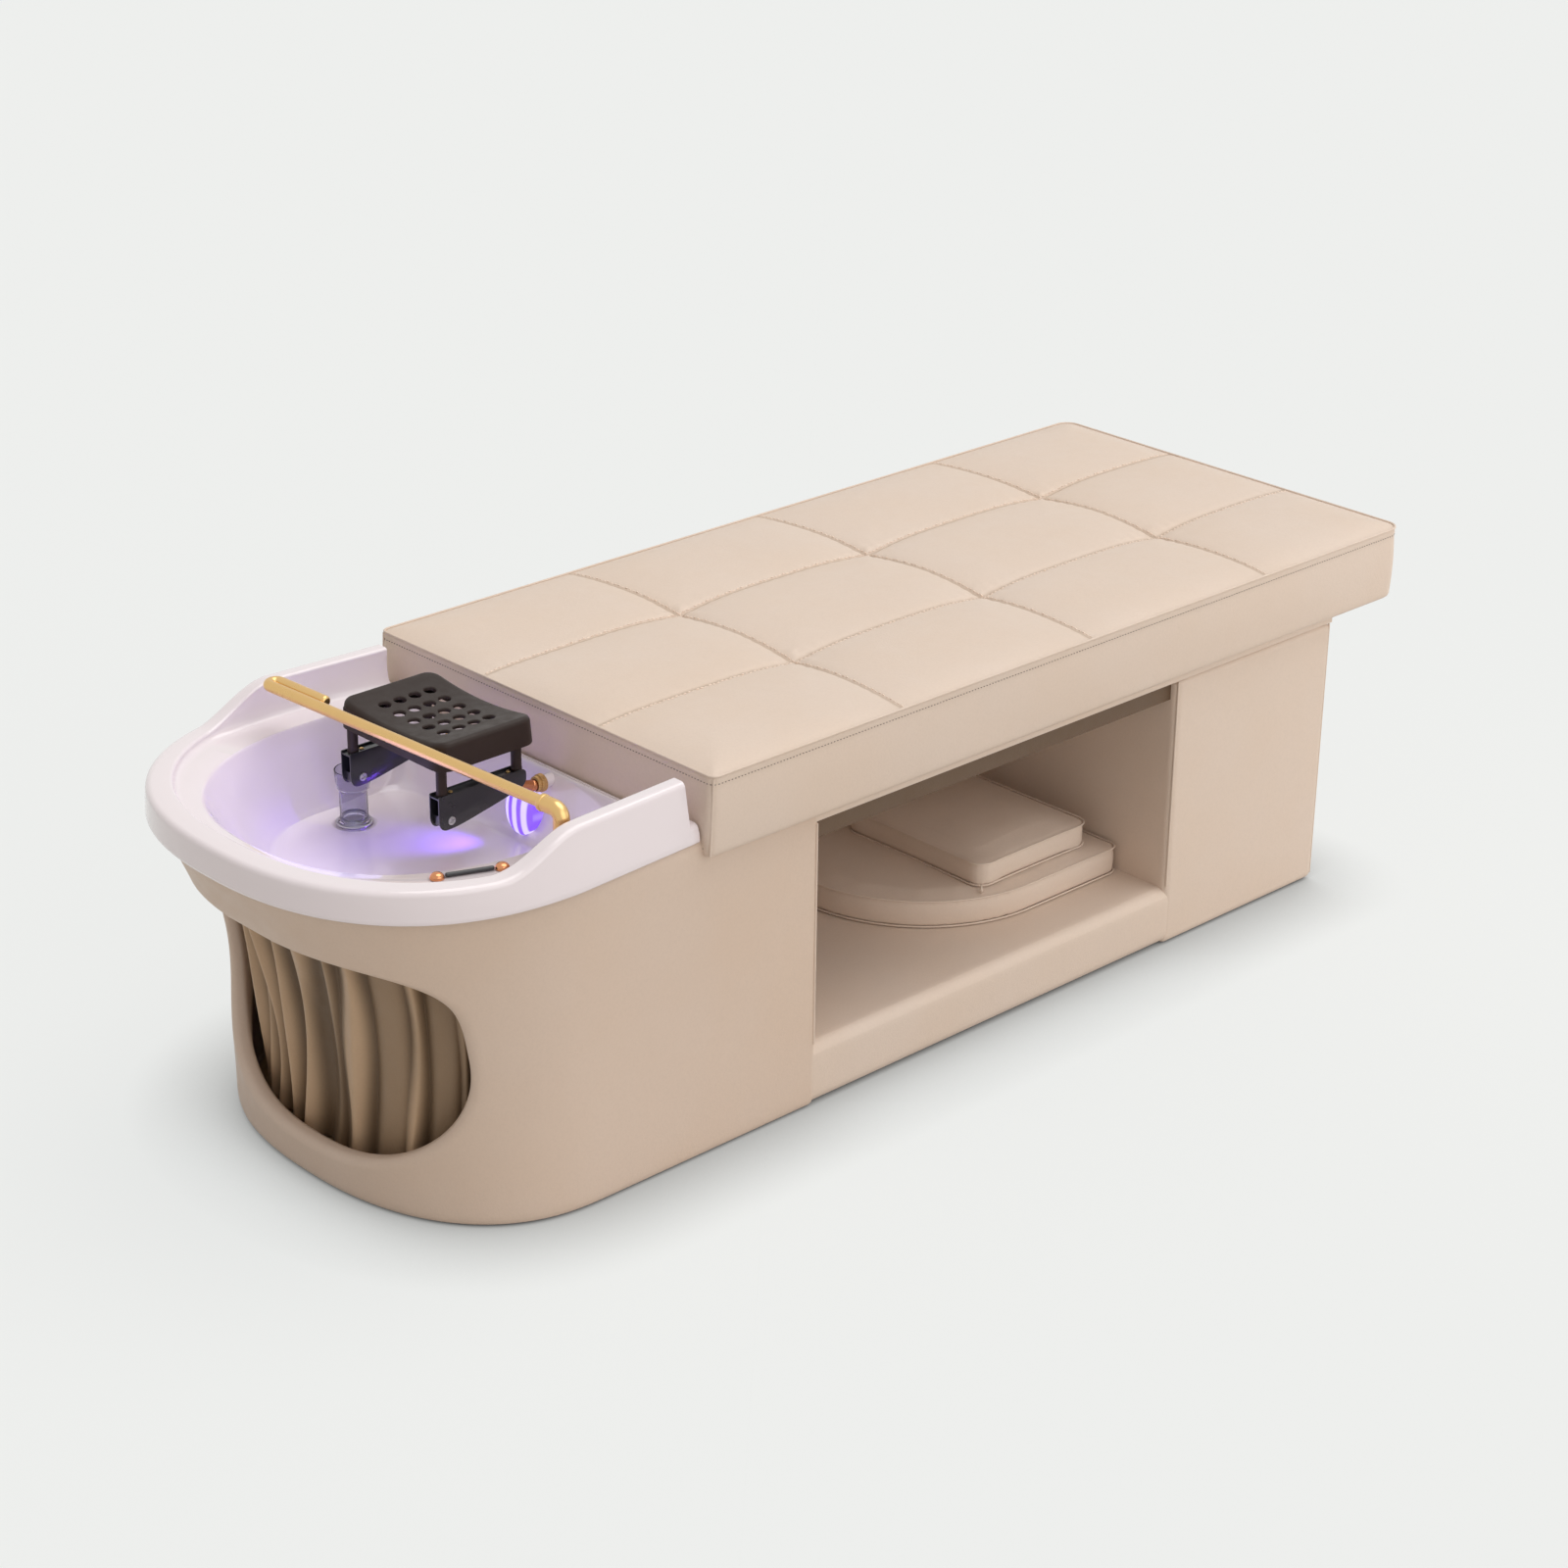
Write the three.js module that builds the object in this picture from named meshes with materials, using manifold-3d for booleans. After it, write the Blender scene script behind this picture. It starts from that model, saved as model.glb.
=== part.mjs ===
// Hair washing bed: quilted mattress on an upholstered base with a storage bay, a curtained head
// cabinet, a moulded basin, an adjustable headrest and a water bar.
// Lengths are in millimetres. X runs from the head end to the foot end, Y from the side with the
// open bay to the far side, and Z upwards from the floor. While the pieces are made, X is zero at
// the head edge of the mattress; the finished group is moved so that its origin is on the floor
// under the middle of the whole bed.
import * as THREE from 'three';
import { mergeVertices } from 'three/addons/utils/BufferGeometryUtils.js';
import Module from 'manifold-3d';

const wasm = await Module();
wasm.setup();

// Clearances
const touch = 0.3; // between pieces that bear on each other
const running = 0.3; // between a pin and its hole
const overrun = 20; // how far a cutting body runs past what it cuts

// Base
const glideHeight = 6;
const glideRadius = 16;
const glideInset = 24; // from the outside of the base to the middle of a glide
const baseHeight = 456;
const wall = 24; // padded panel
const panel = 18; // plywood
const floorBoard = 15;
const shelfHeight = 100;
const edgeRound = 14;
const cabinetLength = 220; // from the mattress edge to the bay
const bayLength = 771;
const pedestalLength = 378;
const railDepth = 34;
const railWidth = 44;

// Head end of the base: plan and flare
const shoulderLength = 180;
const floorReach = 440;
const flareReach = 112;
const flareTop = 490;
const flarePower = 2.5;
const cabinetShares = [0.2, 0.39, 0.55, 0.67, 0.78, 0.87, 0.95, 1]; // levels of the flare
const headPower = 2.35;
const rollInset = 5;
const seatInset = 12;

// Curtain opening, cut along X
const openSide = 58; // from the side of the base to the opening
const openTop = 396;
const openMiddle = 265;
const openBottom = 61;
const openTopPower = 4.5;
const openBottomPower = 2.5;

// Curtain and its track
const curtainTop = 436;
const curtainBottom = 34;
const curtainSet = 16; // from the inside of the cabinet wall to the middle of the cloth
const curtainThick = 2.4;
const foldDepth = 8;
const foldCount = 13;
const curtainFromShare = 0.18;
const trackWidth = 10;
const trackHeight = 14;

// Mattress
const bedLength = 1500;
const bedHalf = 362;
const overhang = 22; // of the mattress past the base
const mattressHeight = 119.5;
const boardInset = 22;
const boardRebate = 14;
const footCorner = 24;
const headCorner = 10;
const piping = 5;
const crown = 9;
const tuftDepth = 7;
const seamWidth = 26;
const crossSeams = [360, 757, 1160];
const longSeamOffset = 124;
const seamBow = 16;
const faceLean = 6;

// Basin
const basinReach = 567;
const basinProud = 2; // past the side of the mattress
const basinTaper = 14; // narrower at the foot edge
const bandOver = 10; // of the basin's band past the cabinet
const basinShoulderLength = 230;
const bowlShoulderLength = 200;
const basinFoot = 10; // gap in plan between the basin and the mattress edge
const bandBottom = 498;
const rimLevel = 545;
const wingLevel = 589;
const wingEnd = 30;
const wingRise = 350; // where the wing starts to rise
const wingFull = 222; // where it is at full height
const notchLevel = 525;
const footLip = 508;
const ledgeLevel = 532;
const rimWidth = 27;
const headRimWidth = 39;
const rimRound = 6;
const rimStep = 16;
const headRimStep = 6;
const ledgeWidth = 46;
const headLedge = 15;
const floorLevel = 402;
const bowlFloorReach = 385;
const bowlSideRun = 138; // from the side of the basin to the bowl's floor
const bowlShift = 20; // the floor lies toward the drain side
const bowlFootFloor = 62;
const skin = 8;
const wingLeanShare = 0.034;
const bowlCorner = 46;
const outerCorner = 4;

// Drain, placed toward the far side of the bowl
const drainX = -190;
const drainInset = 55; // from the side of the bowl's floor
const drainDrop = 3;
const drainBore = 20;
const flangeRadius = 27;
const flangeThick = 2.5;
const standpipeHeight = 80;
const standpipeFoot = 23;
const standpipeTube = 20.4;
const standpipeMouth = 26.5;
const standpipeWall = 2;
const standpipeNeckShare = 0.6;
const plugDepth = 16;
const standpipeLift = 90;

// Headrest
const restY = 52;
const restHead = 227;
const restFoot = 59;
const restHalf = 116;
const restEdge = 611;
const restThick = 42;
const restDip = 12;
const restSkin = 5;
const restCorner = 22;
const restRound = 8;
const restDraft = 2.5;
const holeRadius = 8.2;
const holeRows = 5;
const holeColumns = 4;
const holePitchY = 33;
const holePitchX = 26.5;
const armSpread = 100;
const armTop = 532;
const armHeight = 52;
const armHead = 229;
const armLength = 154;
const armFootHeight = 27;
const armWidth = 22;
const armPlate = 2.2;
const armWeb = 2.5;
const webSink = 3;
const pivotInset = 20;
const pivotRise = 13;
const pivotRadius = 2.5;
const pivotHead = 4.6;
const pivotHeadThick = 2.4;
const strapEnd = 10;
const strapTip = 11;
const strapShort = 16;
const postRadius = 7.6;
const postCollar = 8.2;
const postCollarHeight = 4;
const postHeadInset = 11.5;
const postFootInset = 25;
const bossRadius = 10;
const screwRadius = 1.6;
const screwHead = 3.2;
const screwHeadThick = 2;
const screwStep = 15;
const screwLength = 6;

// Sockets of the headrest and their lock rings
const socketLevel = 496;
const socketRadius = 10;
const socketOut = 36;
const stubRadius = 6.5;
const stubOut = 10; // past the end of the socket
const ballRadius = 8.6;
const coneTip = 4.2;
const coneFoot = 7.4;
const lockRadius = 13;
const lockWidth = 16;
const lockTeeth = 16;
const lockTooth = 0.8;
const lockStepShare = 0.45;

// Water bar and its riser
const barNearPlace = [-224, 92, 597]; // X, in from the side of the basin, Z
const barFarPlace = [-260, 64, 601];
const barRadius = 8.5;
const barHookSpread = 23;
const barHookLength = 118;
const riserInset = 62; // from the side of the basin
const riserRadius = 11.5;
const riserBend = 13;
const barSeat = 16;
const riserFlange = 14.5;
const riserFlangeThick = 5;
const riserTail = 7;
const riserTailLength = 22;

// Studs and rail on the near ledge
const studRadius = 10;
const studHeight = 9;
const railRadius = 3.2;
const studPlaces = [[-388, 107], [-306, 74]]; // X, in from the side of the basin

// Water services in the head cabinet
const trapRadius = 34;
const trapHeight = 78;
const trapDrop = 150;
const tailRadius = 18;
const nutRadius = 30;
const nutHeight = 14;
const hoseRadius = 14;
const outletRadius = 26;
const outletHeight = 20;
const outletX = -96;
const outletStep = 23; // from the drain toward the far side
const heaterLength = 150;
const heaterWidth = 190;
const heaterHeight = 270;
const heaterRound = 22;
const heaterFoot = 14;
const pumpRadius = 44;
const pumpLength = 130;
const volute = 58;
const voluteWidth = 38;
const pumpFoot = 12;
const valveLength = 120;
const valveRadius = 17;
const valveLevel = 330;
const valveKnob = 22;
const supplyRadius = 8;
const boxClearance = 23; // from the valve's knob
const boxLength = 46;
const boxWidth = 130;
const boxHeight = 90;
const boxLevel = 300;
const lampHalf = 30;
const lampRise = 34;
const lampY = -20;
const lampLevel = 446;
const lampDome = 9;
const lampRim = 5;

// Pads kept in the bay
const padThick = 46;
const padRadius = 245;
const padStraight = 212;
const padX = 774;
const padY = 0;
const padPuff = 5;
const padPull = 300;
const pillowLength = 250;
const pillowWidth = 300;
const pillowThick = 42;
const pillowX = 818;
const pillowY = -66;
const pillowPuff = 10;
const pillowCorner = 30;
const pillowPull = 280;

// Derived levels and places
const baseHalf = bedHalf - overhang;
const openHalf = baseHalf - openSide;
const basinHalf = bedHalf + basinProud;
const basinFootHalf = basinHalf - basinTaper;
const flareHalf = basinHalf - bandOver - baseHalf;
const bowlHalfFloor = basinHalf - bowlSideRun;
const drainY = bowlHalfFloor + bowlShift - drainInset;
const outletY = drainY + outletStep;
const barNear = [barNearPlace[0], barNearPlace[1] - basinHalf, barNearPlace[2]];
const barFarEnd = [barFarPlace[0], basinHalf - barFarPlace[1], barFarPlace[2]];
const riserY = riserInset - basinHalf;
const studCentres = studPlaces.map(([x, inset]) => [x, inset - basinHalf]);
const cabinetFoot = cabinetLength;
const bayEnd = cabinetLength + bayLength;
const pedestalEnd = bayEnd + pedestalLength;
const deckLevel = baseHeight + touch;
const mattressLevel = deckLevel + panel + touch;
const mattressTop = mattressLevel + mattressHeight;
const wholeLength = basinReach + bedLength;
const channelX = -armHead;
const channelLevel = armTop - armHeight;
const pivotX = channelX + pivotInset;
const pivotLevel = channelLevel + pivotRise;
const webLevel = armTop - webSink - armWeb;
const restBottom = restEdge - restThick;
const armPlaces = [restY - armSpread, restY + armSpread];
const sideNames = ['near', 'far'];
const endNames = ['head', 'foot'];
const postPlaces = [-restHead + postHeadInset, -restFoot - postFootInset];
const drainLevel = floorLevel - drainDrop;
const ballX = -socketOut - stubOut - running - ballRadius;
const glidePlaces = [
  [glideInset - floorReach, 0],
  ...[-1, 1].flatMap((side) => [
    [-shoulderLength / 2, side * (baseHalf - glideInset)],
    [(cabinetFoot + bayEnd) / 2, side * (baseHalf - 2 * wall)],
    [pedestalEnd - 3 * wall, side * (baseHalf - glideInset)],
  ]),
];

// Materials
const leather = finish(0xd9c8b2, 0.55, 0);
const leatherShade = finish(0xb39c80, 0.6, 0);
const basinWhite = finish(0xf1ebef, 0.12, 0);
const moulded = finish(0x3c3836, 0.5, 0);
const blackSteel = finish(0x17151a, 0.35, 0.4);
const steel = finish(0xb9b9bd, 0.3, 0.9);
const gold = finish(0xd2a055, 0.3, 0.9);
const copper = finish(0xb8784f, 0.3, 0.9);
const clear = finish(0xdfe4ea, 0.08, 0);
const plywood = finish(0xc9a878, 0.7, 0);
const greyPlastic = finish(0x8d9094, 0.5, 0);
const whitePlastic = finish(0xe6e6e4, 0.4, 0);
const rubber = finish(0x2a2a2c, 0.8, 0);

function finish(color, roughness, metalness) {
  return new THREE.MeshStandardMaterial({ color, roughness, metalness });
}

// Solid modelling helpers

function solid(geometry) {
  const bare = new THREE.BufferGeometry();
  bare.setAttribute('position', geometry.getAttribute('position').clone());
  if (geometry.index) bare.setIndex(geometry.index.clone());
  const merged = mergeVertices(bare, 1e-4);
  return new wasm.Manifold(new wasm.Mesh({
    numProp: 3,
    vertProperties: new Float32Array(merged.getAttribute('position').array),
    triVerts: new Uint32Array(merged.index.array),
  }));
}

function bodyOf(manifold) {
  const mesh = manifold.getMesh();
  const geometry = new THREE.BufferGeometry();
  geometry.setAttribute('position', new THREE.BufferAttribute(new Float32Array(mesh.vertProperties), 3));
  geometry.setIndex(new THREE.BufferAttribute(new Uint32Array(mesh.triVerts), 1));
  geometry.computeVertexNormals();
  return geometry;
}

function cut(body, ...tools) {
  return bodyOf(tools.reduce((left, tool) => left.subtract(solid(tool)), solid(body)));
}

function join(body, ...others) {
  return bodyOf(others.reduce((sum, other) => sum.add(solid(other)), solid(body)));
}

function lerp(from, to, share) {
  return from + (to - from) * share;
}

function smooth(share) {
  const s = Math.min(1, Math.max(0, share));
  return s * s * (3 - 2 * s);
}

// A box between two corners
function block(x0, x1, y0, y1, z0, z1) {
  const geometry = new THREE.BoxGeometry(x1 - x0, y1 - y0, z1 - z0);
  return geometry.translate((x0 + x1) / 2, (y0 + y1) / 2, (z0 + z1) / 2);
}

// A round bar between two levels of an axis through x, y
function upright(radius, x, y, z0, z1, sides = 24) {
  const geometry = new THREE.CylinderGeometry(radius, radius, z1 - z0, sides);
  return geometry.rotateX(Math.PI / 2).translate(x, y, (z0 + z1) / 2);
}

function alongX(radius, x0, x1, y, z, sides = 24) {
  const geometry = new THREE.CylinderGeometry(radius, radius, x1 - x0, sides);
  return geometry.rotateZ(Math.PI / 2).translate((x0 + x1) / 2, y, z);
}

function alongY(radius, x, y0, y1, z, sides = 24) {
  const geometry = new THREE.CylinderGeometry(radius, radius, y1 - y0, sides);
  return geometry.translate(x, (y0 + y1) / 2, z);
}

// A revolved profile of [radius, height] pairs that turns about Z
function turned(profile, sides = 24) {
  const points = profile.map(([radius, height]) => new THREE.Vector2(radius, height));
  return new THREE.LatheGeometry(points, sides).rotateX(Math.PI / 2);
}

// A skin over loops with the same count of points, closed by a point or a flat fan at each end
function skinned(loops, startPole, endPole) {
  const count = loops[0].length;
  const places = [...loops.flat(), startPole, endPole];
  const faces = [];
  for (let row = 0; row + 1 < loops.length; row++) {
    for (let i = 0; i < count; i++) {
      const a = row * count + i;
      const b = row * count + (i + 1) % count;
      faces.push(a, b, b + count, a, b + count, a + count);
    }
  }
  const first = loops.length * count;
  const last = (loops.length - 1) * count;
  for (let i = 0; i < count; i++) {
    faces.push(first, (i + 1) % count, i);
    faces.push(first + 1, last + i, last + (i + 1) % count);
  }
  return outward(places, faces);
}

// A closed body from places and triangles, turned so that its faces point out
function outward(places, faces) {
  let volume = 0;
  for (let i = 0; i < faces.length; i += 3) {
    const [a, b, c] = [places[faces[i]], places[faces[i + 1]], places[faces[i + 2]]];
    volume += a[0] * (b[1] * c[2] - b[2] * c[1]) + a[1] * (b[2] * c[0] - b[0] * c[2])
      + a[2] * (b[0] * c[1] - b[1] * c[0]);
  }
  const turnedFaces = volume > 0 ? faces : [...faces].reverse();
  const geometry = new THREE.BufferGeometry();
  geometry.setAttribute('position', new THREE.Float32BufferAttribute(places.flat(), 3));
  geometry.setIndex(turnedFaces);
  geometry.computeVertexNormals();
  return geometry;
}

// A flat shape in X and Z, given thickness along Y from y0 to y1
function plateXZ(shape, y0, y1, curveSegments = 8) {
  const geometry = new THREE.ExtrudeGeometry(shape, { depth: y1 - y0, bevelEnabled: false, curveSegments });
  return geometry.rotateX(Math.PI / 2).translate(0, y1, 0);
}

// A flat shape in Y and Z, given thickness along X from x0 to x1
function plateYZ(shape, x0, x1, curveSegments = 8) {
  const geometry = new THREE.ExtrudeGeometry(shape, { depth: x1 - x0, bevelEnabled: false, curveSegments });
  return geometry.rotateX(Math.PI / 2).rotateZ(Math.PI / 2).translate(x0, 0, 0);
}

// A tube of round section along a curve, with flat closed ends
function tube(curve, radius, steps, sides = 12) {
  const section = new THREE.Shape();
  for (let i = 0; i < sides; i++) {
    const a = 2 * Math.PI * i / sides;
    const [u, w] = [radius * Math.cos(a), radius * Math.sin(a)];
    if (i === 0) section.moveTo(u, w);
    else section.lineTo(u, w);
  }
  return new THREE.ExtrudeGeometry(section, { steps, extrudePath: curve, bevelEnabled: false });
}

function path(points) {
  return new THREE.CatmullRomCurve3(points.map(([x, y, z]) => new THREE.Vector3(x, y, z)), false,
      'centripetal');
}

// A loop of points round a rectangle with rounded corners, centred on zero
function roundedLoop(halfX, halfY, radius, sideSteps = 6, cornerSteps = 4) {
  const loop = [];
  const centres = [[1, 1], [-1, 1], [-1, -1], [1, -1]];
  centres.forEach(([sx, sy], quarter) => {
    for (let i = 0; i <= cornerSteps; i++) {
      const a = Math.PI / 2 * (quarter + i / cornerSteps);
      loop.push([sx * (halfX - radius) + radius * Math.cos(a),
          sy * (halfY - radius) + radius * Math.sin(a)]);
    }
    const [nx, ny] = centres[(quarter + 1) % 4];
    const a = Math.PI / 2 * (quarter + 1);
    const from = loop[loop.length - 1];
    const to = [nx * (halfX - radius) + radius * Math.cos(a), ny * (halfY - radius) + radius * Math.sin(a)];
    for (let i = 1; i < sideSteps; i++) {
      loop.push([lerp(from[0], to[0], i / sideSteps), lerp(from[1], to[1], i / sideSteps)]);
    }
  });
  return loop;
}

// Plan of the head end

const headSteps = 26;
const trackSteps = 24;
const sideSteps = 6;
const footSteps = 8;
const chamferShare = 1 - Math.SQRT1_2;

// One closed loop round the plan: a superellipse for the head, straight sides, two rounded
// corners and a foot edge. Each point is [x, y, zone], where the zone names its stretch.
function planLoop({ reach, half, footHalf = half, start, foot, corner, sideEnd = foot - 2 * corner }) {
  const loop = [];
  const arc = 2 / headPower;
  for (let i = 0; i <= headSteps; i++) {
    const a = Math.PI * i / headSteps;
    const x = -start - (reach - start) * Math.abs(Math.sin(a)) ** arc;
    loop.push([x, -half * Math.sign(Math.cos(a)) * Math.abs(Math.cos(a)) ** arc, 'head']);
  }
  const side = [];
  for (let i = 1; i <= sideSteps; i++) {
    const x = lerp(-start, sideEnd, i / sideSteps);
    side.push([x, lerp(half, footHalf, (x + start) / (foot + start)), 'side']);
  }
  side.push([foot - corner, footHalf, 'corner']);
  side.push([foot - corner * chamferShare, footHalf - corner * chamferShare, 'corner']);
  side.push([foot, footHalf - corner, 'corner']);
  loop.push(...side);
  for (let i = 1; i < footSteps; i++) {
    loop.push([foot, lerp(footHalf - corner, corner - footHalf, i / footSteps), 'foot']);
  }
  loop.push(...side.reverse().map(([x, y, zone]) => [x, -y, zone]));
  return loop;
}

function level(loop, height) {
  const heightOf = typeof height === 'function' ? height : () => height;
  return loop.map(([x, y, zone]) => [x, y, heightOf(x, y, zone)]);
}

// How far the base reaches and how wide it is at a height above the floor
function flare(z) {
  return Math.min(1, z / flareTop) ** flarePower;
}

function baseLoop(z, inset) {
  return planLoop({
    reach: floorReach + flareReach * flare(z) - inset,
    half: baseHalf + flareHalf * flare(z) - inset,
    footHalf: baseHalf - inset,
    start: shoulderLength,
    foot: cabinetFoot - (inset > 0 ? panel : 0),
    corner: outerCorner,
  });
}

// Base

function headCabinet() {
  const shares = [(glideHeight + edgeRound) / flareTop, ...cabinetShares];
  const outer = [
    level(baseLoop(glideHeight, edgeRound / 2), glideHeight),
    level(baseLoop(glideHeight, edgeRound / 6), glideHeight + edgeRound / 3),
    ...shares.map((share) => level(baseLoop(share * flareTop, 0), share * flareTop)),
    level(baseLoop(flareTop, rollInset), bandBottom - touch),
    level(baseLoop(flareTop, seatInset), bandBottom - touch),
    level(baseLoop(flareTop, seatInset), ledgeLevel - skin - touch),
  ];
  const inner = [
    level(baseLoop(glideHeight, wall), glideHeight - overrun),
    ...shares.filter((share, i) => i % 2 === 1).map((share) => level(baseLoop(share * flareTop, wall),
        share * flareTop)),
    level(baseLoop(flareTop, wall), ledgeLevel + overrun),
  ];
  const middle = [-shoulderLength, 0];
  const shell = skinned(outer, [...middle, glideHeight], [...middle, ledgeLevel - skin - touch]);
  const hollow = skinned(inner, [...middle, glideHeight - overrun], [...middle, ledgeLevel + overrun]);
  const deckCut = block(-basinFoot + touch, cabinetFoot + overrun, -bedHalf, bedHalf, baseHeight,
      ledgeLevel + overrun);
  const lipCut = block(-wingEnd - skin, cabinetFoot + overrun, -bedHalf, bedHalf, bandBottom - touch,
      ledgeLevel + overrun);
  return cut(shell, hollow, deckCut, lipCut, curtainHole());
}

// The opening is a squarish arch above a rounder bowl, cut straight through the head wall
function curtainHole() {
  const shape = new THREE.Shape();
  const steps = 40;
  for (let i = 0; i < steps; i++) {
    const a = 2 * Math.PI * i / steps;
    const [c, s] = [Math.cos(a), Math.sin(a)];
    const rise = s > 0 ? openTop - openMiddle : openMiddle - openBottom;
    const arc = 2 / (s > 0 ? openTopPower : openBottomPower);
    const y = openHalf * Math.sign(c) * Math.abs(c) ** arc;
    const z = openMiddle + rise * Math.sign(s) * Math.abs(s) ** arc;
    if (i === 0) shape.moveTo(y, z);
    else shape.lineTo(y, z);
  }
  return plateYZ(shape, -basinReach - overrun, -shoulderLength - wall * 3);
}

// The board follows the inside of the cabinet wall and lies on the floor of it
function cabinetFloor() {
  const inset = wall + touch;
  const loop = baseLoop(glideHeight, inset);
  const [z0, z1] = [glideHeight + touch, glideHeight + floorBoard];
  const board = skinned([level(loop, z0), level(loop, z1)], [-shoulderLength, 0, z0], [-shoulderLength,
      0, z1]);
  return cut(board, upright(outletRadius - 8, outletX, outletY, z0 - overrun, z1 + overrun));
}

// A padded panel box with its long edges rounded; the front and back edges run along X
function plinth(x0, x1, z0, z1) {
  const shape = new THREE.Shape();
  const r = edgeRound;
  shape.moveTo(-baseHalf + r / 2, z0);
  shape.lineTo(baseHalf - r / 2, z0);
  shape.lineTo(baseHalf, z0 + r / 2);
  shape.lineTo(baseHalf, z1);
  shape.lineTo(-baseHalf + r, z1);
  shape.absarc(-baseHalf + r, z1 - r, r, Math.PI / 2, Math.PI, false);
  shape.lineTo(-baseHalf, z0 + r / 2);
  return plateYZ(shape, x0, x1, 6);
}

function pedestal() {
  const [x0, x1] = [bayEnd + touch, pedestalEnd];
  const place = (inset, z) => roundedLoop((x1 - x0) / 2 - inset, baseHalf - inset, edgeRound, 2, 3)
    .map(([x, y]) => [x + (x0 + x1) / 2, y, z]);
  const centre = [(x0 + x1) / 2, 0];
  const body = skinned([
    place(edgeRound / 2, glideHeight),
    place(0, glideHeight + edgeRound / 2),
    place(0, baseHeight),
  ], [...centre, glideHeight], [...centre, baseHeight]);
  const hollow = block(x0 + wall, x1 - wall, wall - baseHalf, baseHalf - wall, glideHeight - overrun,
      baseHeight - wall);
  return cut(body, hollow);
}

function pedestalFloor() {
  const inset = wall + touch;
  const [z0, z1] = [glideHeight + touch, glideHeight + floorBoard];
  return block(bayEnd + touch + inset, pedestalEnd - inset, inset - baseHalf, baseHalf - inset, z0, z1);
}

function bayBack() {
  return block(cabinetFoot + touch, bayEnd, baseHalf - wall, baseHalf, shelfHeight + touch, baseHeight);
}

function bayRail(y) {
  return block(cabinetFoot + touch, bayEnd, y - railWidth / 2, y + railWidth / 2,
      baseHeight - railDepth, baseHeight);
}

function deckBoard() {
  return block(-basinFoot + touch * 2, pedestalEnd, -baseHalf, baseHalf, deckLevel, deckLevel + panel);
}

function glide([x, y]) {
  return turned([[0, 0], [glideRadius * 0.8, 0], [glideRadius, glideHeight / 2], [glideRadius,
      glideHeight - touch],
    [0, glideHeight - touch]], 10).translate(x, y, 0);
}

// Mattress

// Longitudinal seams bow a little, and cross seams bow toward the foot end
function crossSeamAt(k, y) {
  return crossSeams[k] + seamBow * (1 - (y / bedHalf) ** 2);
}

function groove(distance) {
  return Math.exp(-((distance / seamWidth) ** 2));
}

// Height of the quilted top over the piped edge
function quilt(x, y) {
  const edge = Math.min(x, bedLength - x, bedHalf - Math.abs(y));
  const swell = crown * (1 - Math.exp(-Math.max(0, edge) / (2 * seamWidth)));
  const seams = crossSeams.map((_, k) => groove(x - crossSeamAt(k, y)));
  const long = groove(Math.abs(y) - longSeamOffset);
  return swell - tuftDepth * Math.min(1.2, Math.max(...seams, long) + 0.5 * Math.max(...seams) * long);
}

function mattress() {
  const panelShares = [0, 0.1, 0.3, 0.7, 0.9];
  const columns = [];
  const stops = [0, ...crossSeams, bedLength];
  for (let k = 0; k + 1 < stops.length; k++) {
    panelShares.forEach((share) => columns.push([stops[k], stops[k + 1], share, k]));
  }
  const rows = [];
  const bands = [-bedHalf, -longSeamOffset, longSeamOffset, bedHalf];
  for (let k = 0; k + 1 < bands.length; k++) {
    panelShares.forEach((share) => rows.push(lerp(bands[k], bands[k + 1], share)));
  }
  rows.push(bedHalf);
  const columnX = (column, y) => {
    const [from, to, share, k] = column;
    const bow = seamBow * (1 - (y / bedHalf) ** 2);
    return lerp(from + (k > 0 ? bow : 0), to + (k + 2 < stops.length ? bow : 0), share);
  };
  columns.push([stops[stops.length - 2], bedLength, 1, stops.length - 2]);
  const nx = columns.length;
  const ny = rows.length;
  const top = [];
  rows.forEach((y) => columns.forEach((column) => {
    const x = columnX(column, y);
    const [px, py] = inCorner(x, y, 0);
    const onEdge = x <= 0 || x >= bedLength || Math.abs(y) >= bedHalf;
    top.push([px, py, mattressTop + (onEdge ? 0 : quilt(x, y))]);
  }));
  const faces = [];
  for (let j = 0; j + 1 < ny; j++) {
    for (let i = 0; i + 1 < nx; i++) {
      const a = j * nx + i;
      faces.push(a, a + 1, a + nx + 1, a, a + nx + 1, a + nx);
    }
  }
  const border = [];
  for (let i = 0; i < nx - 1; i++) border.push(i);
  for (let j = 0; j < ny - 1; j++) border.push(j * nx + nx - 1);
  for (let i = nx - 1; i > 0; i--) border.push((ny - 1) * nx + i);
  for (let j = ny - 1; j > 0; j--) border.push(j * nx);
  const places = [...top];
  let ring = border;
  const bands2 = [[piping / 2, piping], [0, mattressHeight], [-boardInset, mattressHeight],
      [-boardInset, mattressHeight - boardRebate]];
  for (const [out, down] of bands2) {
    const next = border.map((index) => {
      const [x, y] = top[index];
      const lean = x <= headCorner ? -faceLean * Math.min(1, down / mattressHeight) : 0;
      const [px, py] = inCorner(x, y, out);
      places.push([px + lean, py, mattressTop - down]);
      return places.length - 1;
    });
    ring.forEach((a, i) => {
      const b = ring[(i + 1) % ring.length];
      const [c, d] = [next[i], next[(i + 1) % ring.length]];
      faces.push(a, c, d, a, d, b);
    });
    ring = next;
  }
  places.push([bedLength / 2, 0, mattressTop - mattressHeight + boardRebate]);
  ring.forEach((a, i) => faces.push(a, places.length - 1, ring[(i + 1) % ring.length]));
  return outward(places, faces);
}

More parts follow.
